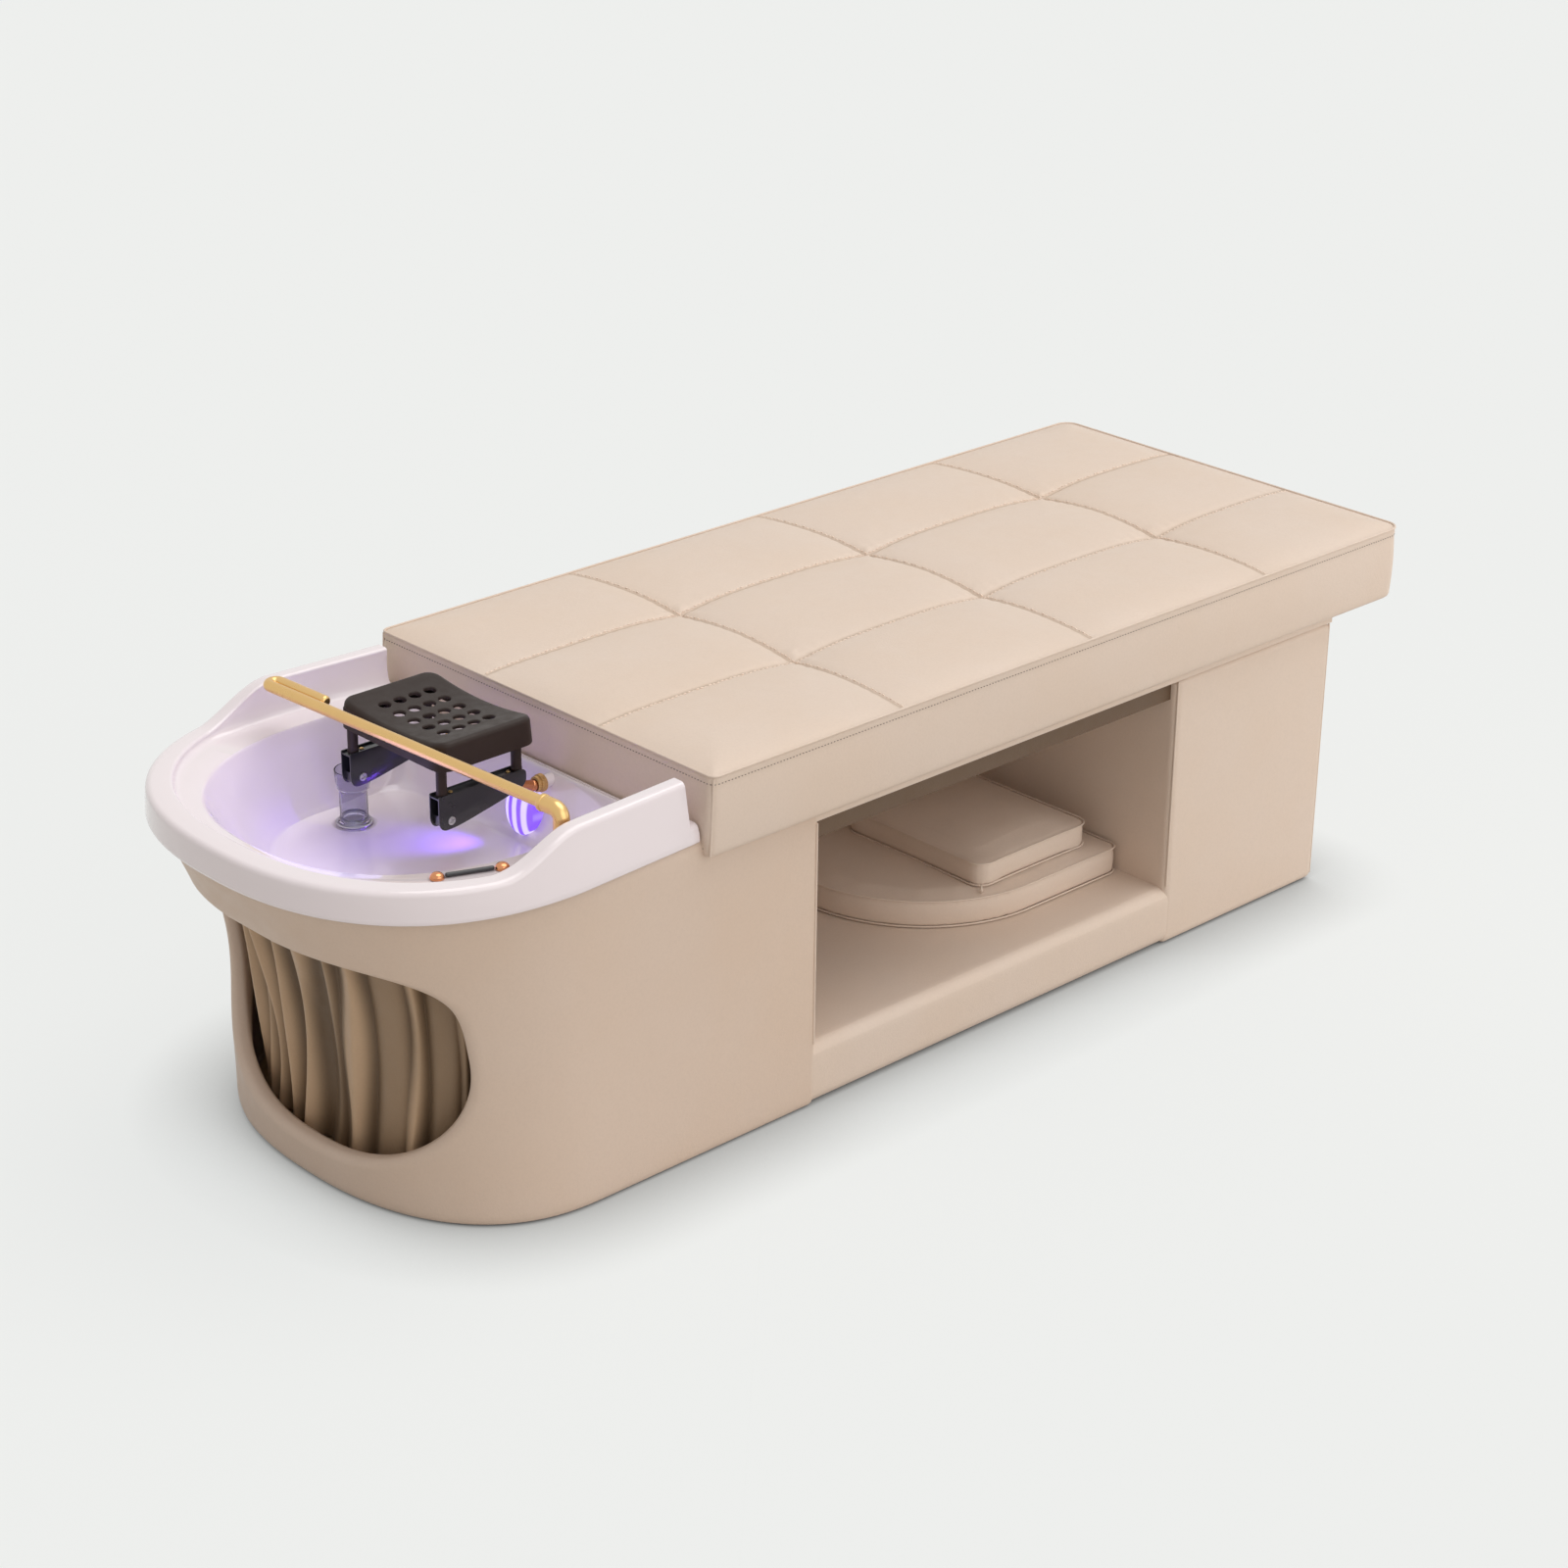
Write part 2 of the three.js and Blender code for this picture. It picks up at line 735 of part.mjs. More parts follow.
// Moves a point of the rectangular plan by out along its edges, with the corners rounded
function inCorner(x, y, out) {
  const radius = x > bedLength / 2 ? footCorner : headCorner;
  const cx = x > bedLength / 2 ? bedLength - radius : radius;
  const cy = Math.sign(y) * (bedHalf - radius);
  const dx = x > bedLength / 2 ? Math.max(0, x - cx) : Math.min(0, x - cx);
  const dy = Math.sign(y) * Math.max(0, Math.abs(y) - Math.abs(cy));
  const reach = Math.hypot(dx, dy);
  if (reach === 0) return [x, y];
  const square = Math.max(Math.abs(dx), Math.abs(dy));
  const wanted = square + out * (square / radius);
  return [cx + (x - cx - dx) + dx / reach * wanted, (y - dy) + dy / reach * wanted];
}

function mattressBoard() {
  const inset = boardInset + touch * 8;
  const [z0, z1] = [mattressLevel, mattressLevel + boardRebate - touch];
  return block(inset, bedLength - inset, inset - bedHalf, bedHalf - inset, z0, z1);
}

// Basin

function rimHeight(x, y, zone) {
  if (zone === 'corner') return notchLevel;
  if (zone === 'foot') return footLip;
  return lerp(rimLevel, wingLevel, smooth((x + wingRise) / (wingRise - wingFull)));
}

function ledgeHeight(x, y, zone) {
  return zone === 'corner' || zone === 'foot' ? footLip : ledgeLevel;
}

// A loop of the basin, set in from its outer wall at the head, sides and foot, and leaning in as
// it rises
function basinLoop([headInset, sideInset, footInset], height, drop = 0) {
  const loop = planLoop({
    reach: basinReach - headInset,
    half: basinHalf - sideInset,
    footHalf: basinFootHalf - sideInset,
    start: basinShoulderLength - sideInset / 2,
    foot: -basinFoot - footInset,
    corner: outerCorner,
    sideEnd: -wingEnd,
  });
  return level(loop, height).map(([x, y, z]) => {
    const lean = 1 - wingLeanShare * (z - bandBottom) / (wingLevel - bandBottom);
    return [x, y * lean, z - drop];
  });
}

// Bowl wall as shares of the way in and of the way down from the ledge to the floor
const bowlShares = [[0, 0], [0.05, 0.03], [0.12, 0.12], [0.3, 0.36], [0.55, 0.68], [0.8, 0.9], [1, 1]];

function bowlLoop([inShare, downShare], out) {
  const mouthReach = basinReach - headRimWidth - headRimStep - headLedge;
  const mouthHalf = basinHalf - rimWidth - rimStep - ledgeWidth;
  const loop = planLoop({
    reach: lerp(mouthReach, bowlFloorReach, inShare) + out,
    half: lerp(mouthHalf, bowlHalfFloor, inShare) + out,
    footHalf: lerp(mouthHalf, bowlHalfFloor, inShare) + out,
    start: bowlShoulderLength,
    foot: -lerp(basinFoot + skin + 1.5, bowlFootFloor, inShare) + out,
    corner: lerp(outerCorner * 3, bowlCorner, inShare),
  });
  return level(loop, (x, y, zone) => lerp(ledgeHeight(x, y, zone), floorLevel, downShare) - out)
    .map(([x, y, z]) => [x, y + bowlShift * inShare, z]);
}

// A flat round seat about the drain, with a point on the way to each point of the floor loop
function drainSeat(radius, height) {
  return bowlLoop([1, 1], 0).map(([x, y]) => {
    const run = Math.hypot(x - drainX, y - drainY);
    return [drainX + radius * (x - drainX) / run, drainY + radius * (y - drainY) / run, height];
  });
}

function basin() {
  const onLedge = (x, y, zone) => (zone === 'head' || zone === 'side' ? ledgeLevel - skin : bandBottom);
  const loops = [
    drainSeat(flangeRadius + touch, drainLevel),
    ...[...bowlShares].reverse().map((shares) => bowlLoop(shares, 0)),
    basinLoop([headRimWidth + headRimStep, rimWidth + rimStep, skin], ledgeHeight),
    basinLoop([headRimWidth, rimWidth, skin - 1], rimHeight, rimRound / 2),
    basinLoop([headRimWidth - rimRound / 2, rimWidth - rimRound / 2, skin - 2], rimHeight),
    basinLoop([rimRound, rimRound, 2], rimHeight),
    basinLoop([rimRound / 4, rimRound / 4, 1], rimHeight, rimRound),
    basinLoop([0, 0, 0], bandBottom),
    basinLoop([skin, skin, 2], bandBottom),
    basinLoop([skin + 1, skin + 1, 2.3], onLedge),
    ...bowlShares.map((shares) => bowlLoop(shares, skin)),
    drainSeat(flangeRadius + touch, drainLevel - skin),
  ];
  const body = skinned(loops, [drainX, drainY, drainLevel], [drainX, drainY, drainLevel - skin]);
  const root = -basinFoot - skin / 2;
  const sockets = armPlaces.flatMap((y) => [
    alongX(socketRadius, -socketOut, root, y, socketLevel, 20),
    alongX(stubRadius, -socketOut - stubOut, root, y, socketLevel, 20),
  ]);
  const drain = upright(drainBore, drainX, drainY, drainLevel - overrun, drainLevel + overrun);
  const { x, y } = riserFoot();
  const riserHole = upright(riserTail + running, x, y, ledgeLevel - overrun, ledgeLevel + overrun, 16);
  const window = lampOutline(touch, -bowlFootFloor - overrun, -basinFoot + overrun);
  return cut(join(body, ...sockets), drain, riserHole, window);
}

// Drain

function drainFlange() {
  const bore = drainBore - touch;
  const lip = flangeThick;
  const seat = drainLevel + lip * 0.6;
  return turned([[bore - 2, seat - skin - plugDepth], [bore, seat - skin - plugDepth], [bore, seat],
    [flangeRadius, seat + touch], [flangeRadius - 1, seat + lip], [bore - 2, seat + lip],
    [bore - 2, seat - skin - plugDepth]], 24).translate(drainX, drainY, 0);
}

function standpipe() {
  const base = drainLevel + flangeThick * 1.6 + touch;
  const t = standpipeWall;
  const plug = drainBore - touch - 2 - running;
  const neck = standpipeHeight * standpipeNeckShare;
  const rows = [[plug, -plugDepth / 2], [plug, 0], [standpipeFoot, 0], [standpipeFoot, t * 1.5],
    [standpipeTube, t * 3], [standpipeTube, neck], [standpipeMouth, standpipeHeight]];
  const back = [[standpipeMouth - t, standpipeHeight], [standpipeTube - t, neck], [plug - t, t * 2],
    [plug - t, -plugDepth / 2], [plug, -plugDepth / 2]];
  return turned([...rows, ...back], 22).translate(drainX, drainY, base);
}

function bottleTrap() {
  const top = drainLevel - skin - plugDepth - touch;
  const bottom = top - trapDrop;
  return turned([[0, bottom], [trapRadius * 0.7, bottom], [trapRadius, bottom + trapRadius * 0.3],
    [trapRadius, bottom + trapHeight], [tailRadius, bottom + trapHeight + tailRadius], [tailRadius,
        top - nutHeight],
    [nutRadius, top - nutHeight], [nutRadius, top], [0, top]], 20).translate(drainX, drainY, 0);
}

function wasteHose() {
  const top = drainLevel - skin - plugDepth - touch - trapDrop + trapHeight * 0.6;
  const from = [drainX + trapRadius + touch, drainY, top];
  const end = [outletX, outletY, glideHeight + floorBoard + outletHeight + touch * 2];
  const points = [from, [from[0] + 2 * hoseRadius, drainY, top], [outletX - hoseRadius,
      outletY - hoseRadius, top * 0.7],
    [outletX, outletY, top * 0.45], end];
  return tube(path(points), hoseRadius, 20, 10);
}

function wasteOutlet() {
  const z0 = glideHeight + floorBoard + touch;
  const neck = outletRadius - 8 - touch;
  return turned([[0, z0 - floorBoard], [neck, z0 - floorBoard], [neck, z0], [outletRadius, z0],
    [outletRadius, z0 + outletHeight * 0.4], [hoseRadius + 2, z0 + outletHeight], [0,
        z0 + outletHeight]], 20)
    .translate(outletX, outletY, 0);
}

// Headrest

function restTop(y) {
  return restEdge - restDip * (1 - (y / restHalf) ** 2);
}

function headrestPlate() {
  const halfX = (restHead - restFoot) / 2;
  const centreX = -(restHead + restFoot) / 2;
  const loopAt = (inset, heightOf) => roundedLoop(halfX - inset, restHalf - inset, Math.max(restSkin,
      restCorner - inset), 4, 3)
    .map(([x, y]) => [centreX + x, restY + y, heightOf(y)]);
  const spreadAt = (share, heightOf) => roundedLoop(halfX * share, restHalf * share, restCorner * share,
      4, 3)
    .map(([x, y]) => [centreX + x, restY + y, heightOf(y)]);
  const loops = [
    spreadAt(0.35, restTop),
    spreadAt(0.65, restTop),
    loopAt(restRound, restTop),
    loopAt(restRound / 3, (y) => restTop(y) - restRound / 3),
    loopAt(0, (y) => restTop(y) - restRound),
    loopAt(-restDraft, () => restBottom),
    loopAt(restSkin - restDraft, () => restBottom),
    loopAt(restSkin + restRound / 2, (y) => restTop(y) - restRound - restSkin),
    loopAt(restSkin + restRound, (y) => restTop(y) - restSkin),
    spreadAt(0.4, (y) => restTop(y) - restSkin),
  ];
  const shell = skinned(loops, [centreX, restY, restTop(0)], [centreX, restY, restTop(0) - restSkin]);
  const bosses = [];
  for (const y of armPlaces) {
    for (const x of postPlaces) {
      bosses.push(upright(bossRadius, x, y, restBottom, restTop(y - restY) - restSkin / 2, 16));
    }
  }
  const holes = [];
  for (let row = 0; row < holeRows; row++) {
    for (let column = 0; column < holeColumns; column++) {
      const y = restY + (row - (holeRows - 1) / 2) * holePitchY;
      const x = centreX + (column - (holeColumns - 1) / 2) * holePitchX;
      holes.push(upright(holeRadius, x, y, restBottom + restSkin, restEdge + overrun, 8));
    }
  }
  return cut(join(shell, ...bosses), ...holes);
}

function post() {
  const length = restBottom - webLevel - armWeb - 2 * touch;
  return turned([[0, 0], [postCollar, 0], [postCollar, postCollarHeight * 0.6], [postRadius,
      postCollarHeight],
    [postRadius, length], [0, length]], 16);
}

// Side outline of a channel, from its head end at zero to its foot end
function channelShape() {
  const shape = new THREE.Shape();
  const foot = armHeight - armFootHeight;
  const r = armFootHeight / 3;
  shape.moveTo(0, armHeight);
  shape.lineTo(0, pivotRise * 1.5);
  shape.quadraticCurveTo(0, 0, pivotInset - pivotRise / 2, 0);
  shape.quadraticCurveTo(pivotInset + pivotRise, 0, lerp(pivotInset, armLength, 0.35), foot * 0.3);
  shape.quadraticCurveTo(lerp(pivotInset, armLength, 0.75), foot * 0.72, armLength - r, foot);
  shape.quadraticCurveTo(armLength, foot + r / 2, armLength, foot + r * 1.5);
  shape.lineTo(armLength, armHeight - r);
  shape.quadraticCurveTo(armLength, armHeight, armLength - r, armHeight);
  return shape;
}

function channel(y) {
  const half = armWidth / 2;
  const cheeks = [-half, half - armPlate].map((y0) => plateXZ(channelShape(), y0, y0 + armPlate, 5));
  const web = block(0, armLength - armWeb, -half + armPlate / 2, half - armPlate / 2,
    armHeight - webSink - armWeb, armHeight - webSink);
  const body = join(cheeks[0], cheeks[1], web);
  const pin = alongY(pivotRadius + running, pivotInset, -armWidth, armWidth, pivotRise, 14);
  const bores = screwPlaces().map((x) => upright(
    screwRadius + running, x - channelX, 0, armHeight - webSink - overrun, armHeight + overrun, 10));
  return cut(body, pin, ...bores).translate(channelX, y, channelLevel);
}

function screwPlaces() {
  return [postPlaces[0] + screwStep, postPlaces[1] - screwStep];
}

// The strap fills the channel's lower part and follows its lower edge
function strap(y) {
  const half = armWidth / 2 - armPlate - touch * 2;
  const foot = armHeight - armFootHeight;
  const shape = new THREE.Shape();
  const lift = 2.5;
  const tip = armLength - strapShort;
  shape.moveTo(pivotInset, pivotRise + strapEnd);
  shape.absarc(pivotInset, pivotRise, strapEnd, Math.PI / 2, Math.PI * 1.5, false);
  shape.quadraticCurveTo(pivotInset + pivotRise, lift, lerp(pivotInset, armLength, 0.35),
      foot * 0.3 + lift);
  shape.quadraticCurveTo(lerp(pivotInset, armLength, 0.7), foot * 0.72 + lift, tip, foot);
  shape.lineTo(tip, foot + strapTip);
  const body = plateXZ(shape, -half, half, 6);
  const pin = alongY(pivotRadius + running, pivotInset, -armWidth, armWidth, pivotRise, 14);
  return cut(body, pin).translate(channelX, y, channelLevel);
}

function pivotScrew(y) {
  const half = armWidth / 2;
  const shank = alongY(pivotRadius, pivotX, y - half - touch, y + half + touch + pivotHeadThick,
      pivotLevel, 14);
  const head = new THREE.CylinderGeometry(pivotHead, pivotHead * 0.7, pivotHeadThick, 16)
    .translate(pivotX, y - half - touch - pivotHeadThick / 2, pivotLevel);
  const nut = new THREE.CylinderGeometry(pivotHead, pivotHead, pivotHeadThick, 6)
    .translate(pivotX, y + half + touch + pivotHeadThick / 2, pivotLevel);
  return join(shank, head, nut);
}

function channelScrew(x, y) {
  return turned([[0, -screwLength], [screwRadius, -screwLength], [screwRadius, 0], [screwHead, 0],
    [screwHead, screwHeadThick * 0.6], [screwHead * 0.6, screwHeadThick], [0, screwHeadThick]], 8)
    .translate(x, y, webLevel + armWeb + touch);
}

// A coned spigot: its ball bears on the stub of the socket, inside the lock ring, and its cone
// rises to the end of the strap
function spigot(y) {
  const tip = [channelX + armLength - strapShort + touch,
      channelLevel + armHeight - armFootHeight + strapTip / 2];
  const root = [ballX, socketLevel];
  const run = Math.hypot(tip[0] - root[0], tip[1] - root[1]);
  const turn = Math.atan2(tip[1] - root[1], root[0] - tip[0]);
  const cone = new THREE.CylinderGeometry(coneTip, coneFoot, run, 12).translate(0, run / 2, 0);
  cone.rotateZ(Math.PI / 2).rotateY(turn).translate(root[0], y, root[1]);
  const ball = new THREE.SphereGeometry(ballRadius, 16, 10).rotateX(Math.PI / 2).translate(root[0], y,
      root[1]);
  const strapFace = block(tip[0] - 3 * ballRadius, tip[0], y - 2 * ballRadius, y + 2 * ballRadius,
    tip[1] - 2 * ballRadius, tip[1] + 2 * ballRadius);
  return join(cut(cone, strapFace), ball);
}

// A knurled ring with a lower step on its head side
function lockRing(y) {
  const toothed = (radius, x0, x1) => {
    const shape = new THREE.Shape();
    for (let i = 0; i < 2 * lockTeeth; i++) {
      const a = Math.PI * i / lockTeeth;
      const r = radius - (i % 2) * lockTooth;
      if (i === 0) shape.moveTo(r * Math.cos(a), r * Math.sin(a));
      else shape.lineTo(r * Math.cos(a), r * Math.sin(a));
    }
    return plateYZ(shape, x0, x1);
  };
  const x0 = -socketOut - lockWidth + touch;
  const x1 = -socketOut - touch;
  const middle = lerp(x0, x1, lockStepShare);
  const body = join(toothed(lockRadius * 0.86, x0, middle + 1), toothed(lockRadius, middle, x1));
  const bore = alongX(stubRadius + running, x0 - overrun, x1 + overrun, 0, 0, 20);
  const cup = alongX(ballRadius + 2 * running, x0 - overrun, -socketOut - stubOut, 0, 0, 20);
  return cut(body, bore, cup).translate(0, y, socketLevel);
}

// Water bar

// The bar's own frame: along runs from the near end to the far end, across points to the foot
function barFrame() {
  const near = new THREE.Vector3(...barNear);
  const far = new THREE.Vector3(...barFarEnd);
  const along = far.clone().sub(near).normalize();
  const across = new THREE.Vector3(along.y, -along.x, 0).normalize();
  const above = new THREE.Vector3().crossVectors(across, along);
  return { near, far, along, across, above };
}

function stepped(from, ...moves) {
  return moves.reduce((p, [direction, length]) => p.addScaledVector(direction, length), from.clone());
}

// Far end turned back on itself in a flat hook
function waterBar() {
  const { near, far, along, across, above } = barFrame();
  const r = barHookSpread / 2;
  const bendFrom = stepped(far, [along, -r - barRadius]);
  const steps = 10;
  const bend = Array.from({ length: steps + 1 }, (_, i) => {
    const a = Math.PI * i / steps;
    return stepped(bendFrom, [across, r * (1 - Math.cos(a))], [along, r * Math.sin(a)]);
  });
  const tip = stepped(bend[steps], [along, r + barRadius - barHookLength]);
  return tubeThrough([stepped(near, [along, -barSeat]), ...bend, tip], barRadius, 16, above);
}

// A tube swept along points that lie in one plane: its rings stand square to the mean direction
function tubeThrough(points, radius, sides, normal) {
  const loops = points.map((p, i) => {
    const before = i > 0 ? p.clone().sub(points[i - 1]).normalize() : new THREE.Vector3();
    const after = i + 1 < points.length ? points[i + 1].clone().sub(p).normalize() : new THREE.Vector3();
    const side = new THREE.Vector3().crossVectors(before.add(after).normalize(), normal);
    return Array.from({ length: sides }, (_, k) => {
      const a = 2 * Math.PI * k / sides;
      return stepped(p, [normal, radius * Math.cos(a)], [side, radius * Math.sin(a)]).toArray();
    });
  });
  return skinned(loops, points[0].toArray(), points[points.length - 1].toArray());
}

// Riser: a tail through the ledge, a flange, a tight bend and a sleeve that holds the bar
function riserFoot() {
  const { near, along } = barFrame();
  const back = (near.y - riserY) / along.y;
  return stepped(near, [along, -back]);
}

function barRiser() {
  const { near, along, across } = barFrame();
  const corner = riserFoot();
  const foot = ledgeLevel + touch;
  const steps = 6;
  const up = new THREE.Vector3(0, 0, 1);
  const centre = stepped(corner, [along, riserBend], [up, -riserBend]);
  const bend = Array.from({ length: steps + 1 }, (_, i) => {
    const a = Math.PI / 2 * i / steps;
    return stepped(centre, [along, -riserBend * Math.cos(a)], [up, riserBend * Math.sin(a)]);
  });
  const base = new THREE.Vector3(bend[0].x, bend[0].y, foot);
  const body = tubeThrough([base, ...bend, near], riserRadius, 18, across);
  const flange = turned([[0, 0], [riserFlange, 0], [riserFlange, riserFlangeThick * 0.6],
    [riserRadius, riserFlangeThick], [0, riserFlangeThick]], 20).translate(base.x, base.y, foot);
  const tail = upright(riserTail, base.x, base.y, foot - riserTailLength, foot + riserFlangeThick / 2, 16);
  const seat = [stepped(near, [along, -barSeat - touch]), stepped(near, [along, overrun])];
  return cut(join(body, flange, tail), tubeThrough(seat, barRadius + running, 16, across));
}

// Studs and rail on the near ledge

function domedStud([x, y]) {
  const r = studRadius;
  return turned([[0, 0], [r, 0], [r, studHeight * 0.25], [r * 0.92, studHeight * 0.5], [r * 0.7,
      studHeight * 0.78],
    [r * 0.38, studHeight * 0.95], [0, studHeight]], 16).translate(x, y, ledgeLevel + touch);
}

function ledgeRail() {
  const [a, b] = studCentres;
  const run = Math.hypot(b[0] - a[0], b[1] - a[1]);
  const turn = Math.atan2(b[1] - a[1], b[0] - a[0]);
  const length = run - 2 * studRadius - 2 * touch;
  const bar = new THREE.CapsuleGeometry(railRadius, length - 2 * railRadius, 3, 8).rotateZ(Math.PI / 2);
  return bar.rotateZ(turn).translate((a[0] + b[0]) / 2, (a[1] + b[1]) / 2, ledgeLevel + railRadius + touch);
}

// Curtain

// Middle line of the cloth in plan at a height: inside of the head wall, set in, with folds
function clothLine(z, share, side) {
  const a = Math.PI * lerp(curtainFromShare, 1 - curtainFromShare, share);
  const inset = wall + curtainSet;
  const arc = 2 / headPower;
  const reach = floorReach + flareReach * flare(z) - inset - shoulderLength;
  const half = baseHalf + flareHalf * flare(z) - inset;
  const x = -reach * Math.abs(Math.sin(a)) ** arc;
  const y = -half * Math.sign(Math.cos(a)) * Math.abs(Math.cos(a)) ** arc;
  const out = Math.hypot(x / reach, y / half);
  const [nx, ny] = [x / reach / out, y / half / out];
  const swing = foldDepth * Math.sin(2 * Math.PI * foldCount * share + 0.9 * Math.sin(5 * share * Math.PI));
  const move = swing + side * curtainThick / 2;
  return [-shoulderLength + x + nx * move, y + ny * move, z];
}

function curtain() {
  const columns = foldCount * 5;
  const heights = [0, 0.33, 0.66, 1].map((share) => lerp(curtainBottom, curtainTop, share));
  const loops = heights.map((z) => {
    const outer = Array.from({ length: columns + 1 }, (_, i) => clothLine(z, i / columns, 1));
    const inner = Array.from({ length: columns + 1 }, (_, i) => clothLine(z, i / columns, -1)).reverse();
    return [...outer, ...inner];
  });
  return stripBody(loops);
}

// A thin upright body from stacked loops whose two halves mirror each other
function stripBody(loops) {
  const count = loops[0].length;
  const places = loops.flat();
  const faces = [];
  for (let row = 0; row + 1 < loops.length; row++) {
    for (let i = 0; i < count; i++) {
      const a = row * count + i;
      const b = row * count + (i + 1) % count;
      faces.push(a, b, b + count, a, b + count, a + count);
    }
  }
  const top = (loops.length - 1) * count;
  for (let i = 0; i + 1 < count / 2; i++) {
    const [j, k] = [count - 1 - i, count - 2 - i];
    faces.push(i, j, k, i, k, i + 1);
    faces.push(top + i, top + k, top + j, top + i, top + i + 1, top + k);
  }
  return outward(places, faces);
}

function curtainTrack() {
  const z0 = curtainTop + touch;
  const rail = (move, z) => Array.from({ length: trackSteps + 1 }, (_, i) => {
    const a = Math.PI * lerp(curtainFromShare, 1 - curtainFromShare, i / trackSteps);
    const arc = 2 / headPower;
    const inset = wall + curtainSet - move;
    const reach = floorReach + flareReach * flare(curtainTop) - inset - shoulderLength;
    const half = baseHalf + flareHalf * flare(curtainTop) - inset;
    return [-shoulderLength - reach * Math.abs(Math.sin(a)) ** arc,
      -half * Math.sign(Math.cos(a)) * Math.abs(Math.cos(a)) ** arc, z];
  });
  const loopAt = (z) => [...rail(curtainSet - touch * 2, z), ...rail(-trackWidth / 2, z).reverse()];
  return stripBody([loopAt(z0), loopAt(z0 + trackHeight)]);
}

// Services in the cabinet

function heaterTank() {
  const x1 = cabinetFoot - panel - wall;
  const centre = [x1 - heaterLength / 2, -baseHalf + 2 * wall + heaterWidth / 2];
  const z0 = glideHeight + floorBoard + heaterFoot + touch;
  const at = (inset, z) => roundedLoop(heaterLength / 2 - inset, heaterWidth / 2 - inset, heaterRound, 2, 3)
    .map(([x, y]) => [centre[0] + x, centre[1] + y, z]);
  const r = heaterRound / 2;
  const tank = skinned([at(r, z0), at(0, z0 + r), at(0, z0 + heaterHeight - r), at(r, z0 + heaterHeight)],
    [...centre, z0], [...centre, z0 + heaterHeight]);
  const feet = [-1, 1].map((s) => block(centre[0] - heaterLength / 3, centre[0] + heaterLength / 3,
    centre[1] + s * heaterWidth / 3 - heaterFoot, centre[1] + s * heaterWidth / 3 + heaterFoot,
    z0 - heaterFoot, z0 + r));
  const stubs = [-1, 1].map((s) => upright(supplyRadius + 2, centre[0] + s * heaterLength / 4, centre[1],
    z0 + heaterHeight - r, z0 + heaterHeight + 2 * heaterFoot, 14));
  return join(tank, ...feet, ...stubs);
}

function circulationPump() {
  const z0 = glideHeight + floorBoard + touch;
  const axis = z0 + pumpFoot + volute;
  const [x, y] = [-shoulderLength - volute, -wall];
  const motor = alongY(pumpRadius, x, y, y + pumpLength, axis, 20);
  const casing = alongY(volute, x, y - voluteWidth, y, axis, 24);
  const spout = upright(supplyRadius * 1.6, x + volute - supplyRadius * 2, y - voluteWidth / 2, axis,
      axis + volute * 1.4, 14);
  const inlet = alongY(supplyRadius * 1.6, x, y - voluteWidth - supplyRadius * 3, y - voluteWidth / 2,
      axis, 14);
  const base = block(x - volute * 0.8, x + volute * 0.8, y - voluteWidth * 0.6, y + pumpLength * 0.8,
      z0, z0 + pumpFoot);
  const saddle = block(x - pumpRadius * 0.5, x + pumpRadius * 0.5, y - voluteWidth * 0.5,
      y + pumpLength * 0.7,
    z0 + pumpFoot / 2, axis);
  return join(motor, casing, spout, inlet, base, saddle);
}

function mixingValve() {
  const x = cabinetFoot - panel - touch - valveRadius * 1.6;
  const y = 0;
  const bar = alongY(valveRadius, x, y - valveLength / 2, y + valveLength / 2, valveLevel, 18);
  const knobs = [-1, 1].map((s) => alongY(valveKnob, x,
      y + s * (valveLength / 2 + valveKnob / 2) - valveKnob / 2,
    y + s * (valveLength / 2 + valveKnob / 2) + valveKnob / 2, valveLevel, 14));
  const lugs = [-1, 1].map((s) => alongX(valveRadius * 0.7, x, cabinetFoot - panel - touch,
      y + s * valveLength / 3,
    valveLevel, 14));
  const outlet = upright(supplyRadius + 2, x, y, valveLevel, valveLevel + 2.2 * valveRadius, 14);
  return join(bar, ...knobs, ...lugs, outlet);
}

function supplyHose() {
  const x = cabinetFoot - panel - touch - valveRadius * 1.6;
  const foot = riserFoot();
  const top = ledgeLevel + touch - riserTailLength - touch;
  const from = valveLevel + 2.2 * valveRadius + touch;
  const points = [[x, 0, from], [x, 0, from + supplyRadius], [x - 2 * supplyRadius, -2 * supplyRadius,
      from + 3 * supplyRadius],
    [x * 0.35, -bowlHalfFloor * 0.8, from + 3 * supplyRadius],
    [-wingEnd, -basinHalf + 2.9 * wall, from + 2.4 * supplyRadius],
    [foot.x * 0.6, foot.y + supplyRadius, (from + top) / 2], [foot.x, foot.y, top - 4 * supplyRadius],
    [foot.x, foot.y, top]];
  return tube(path(points), supplyRadius, 30, 8);
}

function controlBox() {
  const x1 = cabinetFoot - panel - touch;
  const y = valveLength / 2 + valveKnob + boxClearance + boxWidth / 2;
  return join(block(x1 - boxLength, x1, y - boxWidth / 2, y + boxWidth / 2, boxLevel - boxHeight / 2,
      boxLevel + boxHeight / 2),
    ...[-1, 0, 1].map((s) => upright(supplyRadius, x1 - boxLength / 2, y + s * boxWidth / 4,
      boxLevel - boxHeight / 2 - supplyRadius * 1.5, boxLevel, 10)));
}

// The light is a domed oval window in the foot wall of the bowl
function lampOutline(out, x0, x1) {
  const shape = new THREE.Shape();
  shape.absellipse(0, 0, lampHalf + out, lampRise + out, 0, 2 * Math.PI, false, 0);
  return plateYZ(shape, x0, x1, 16).translate(0, lampY, lampLevel);
}

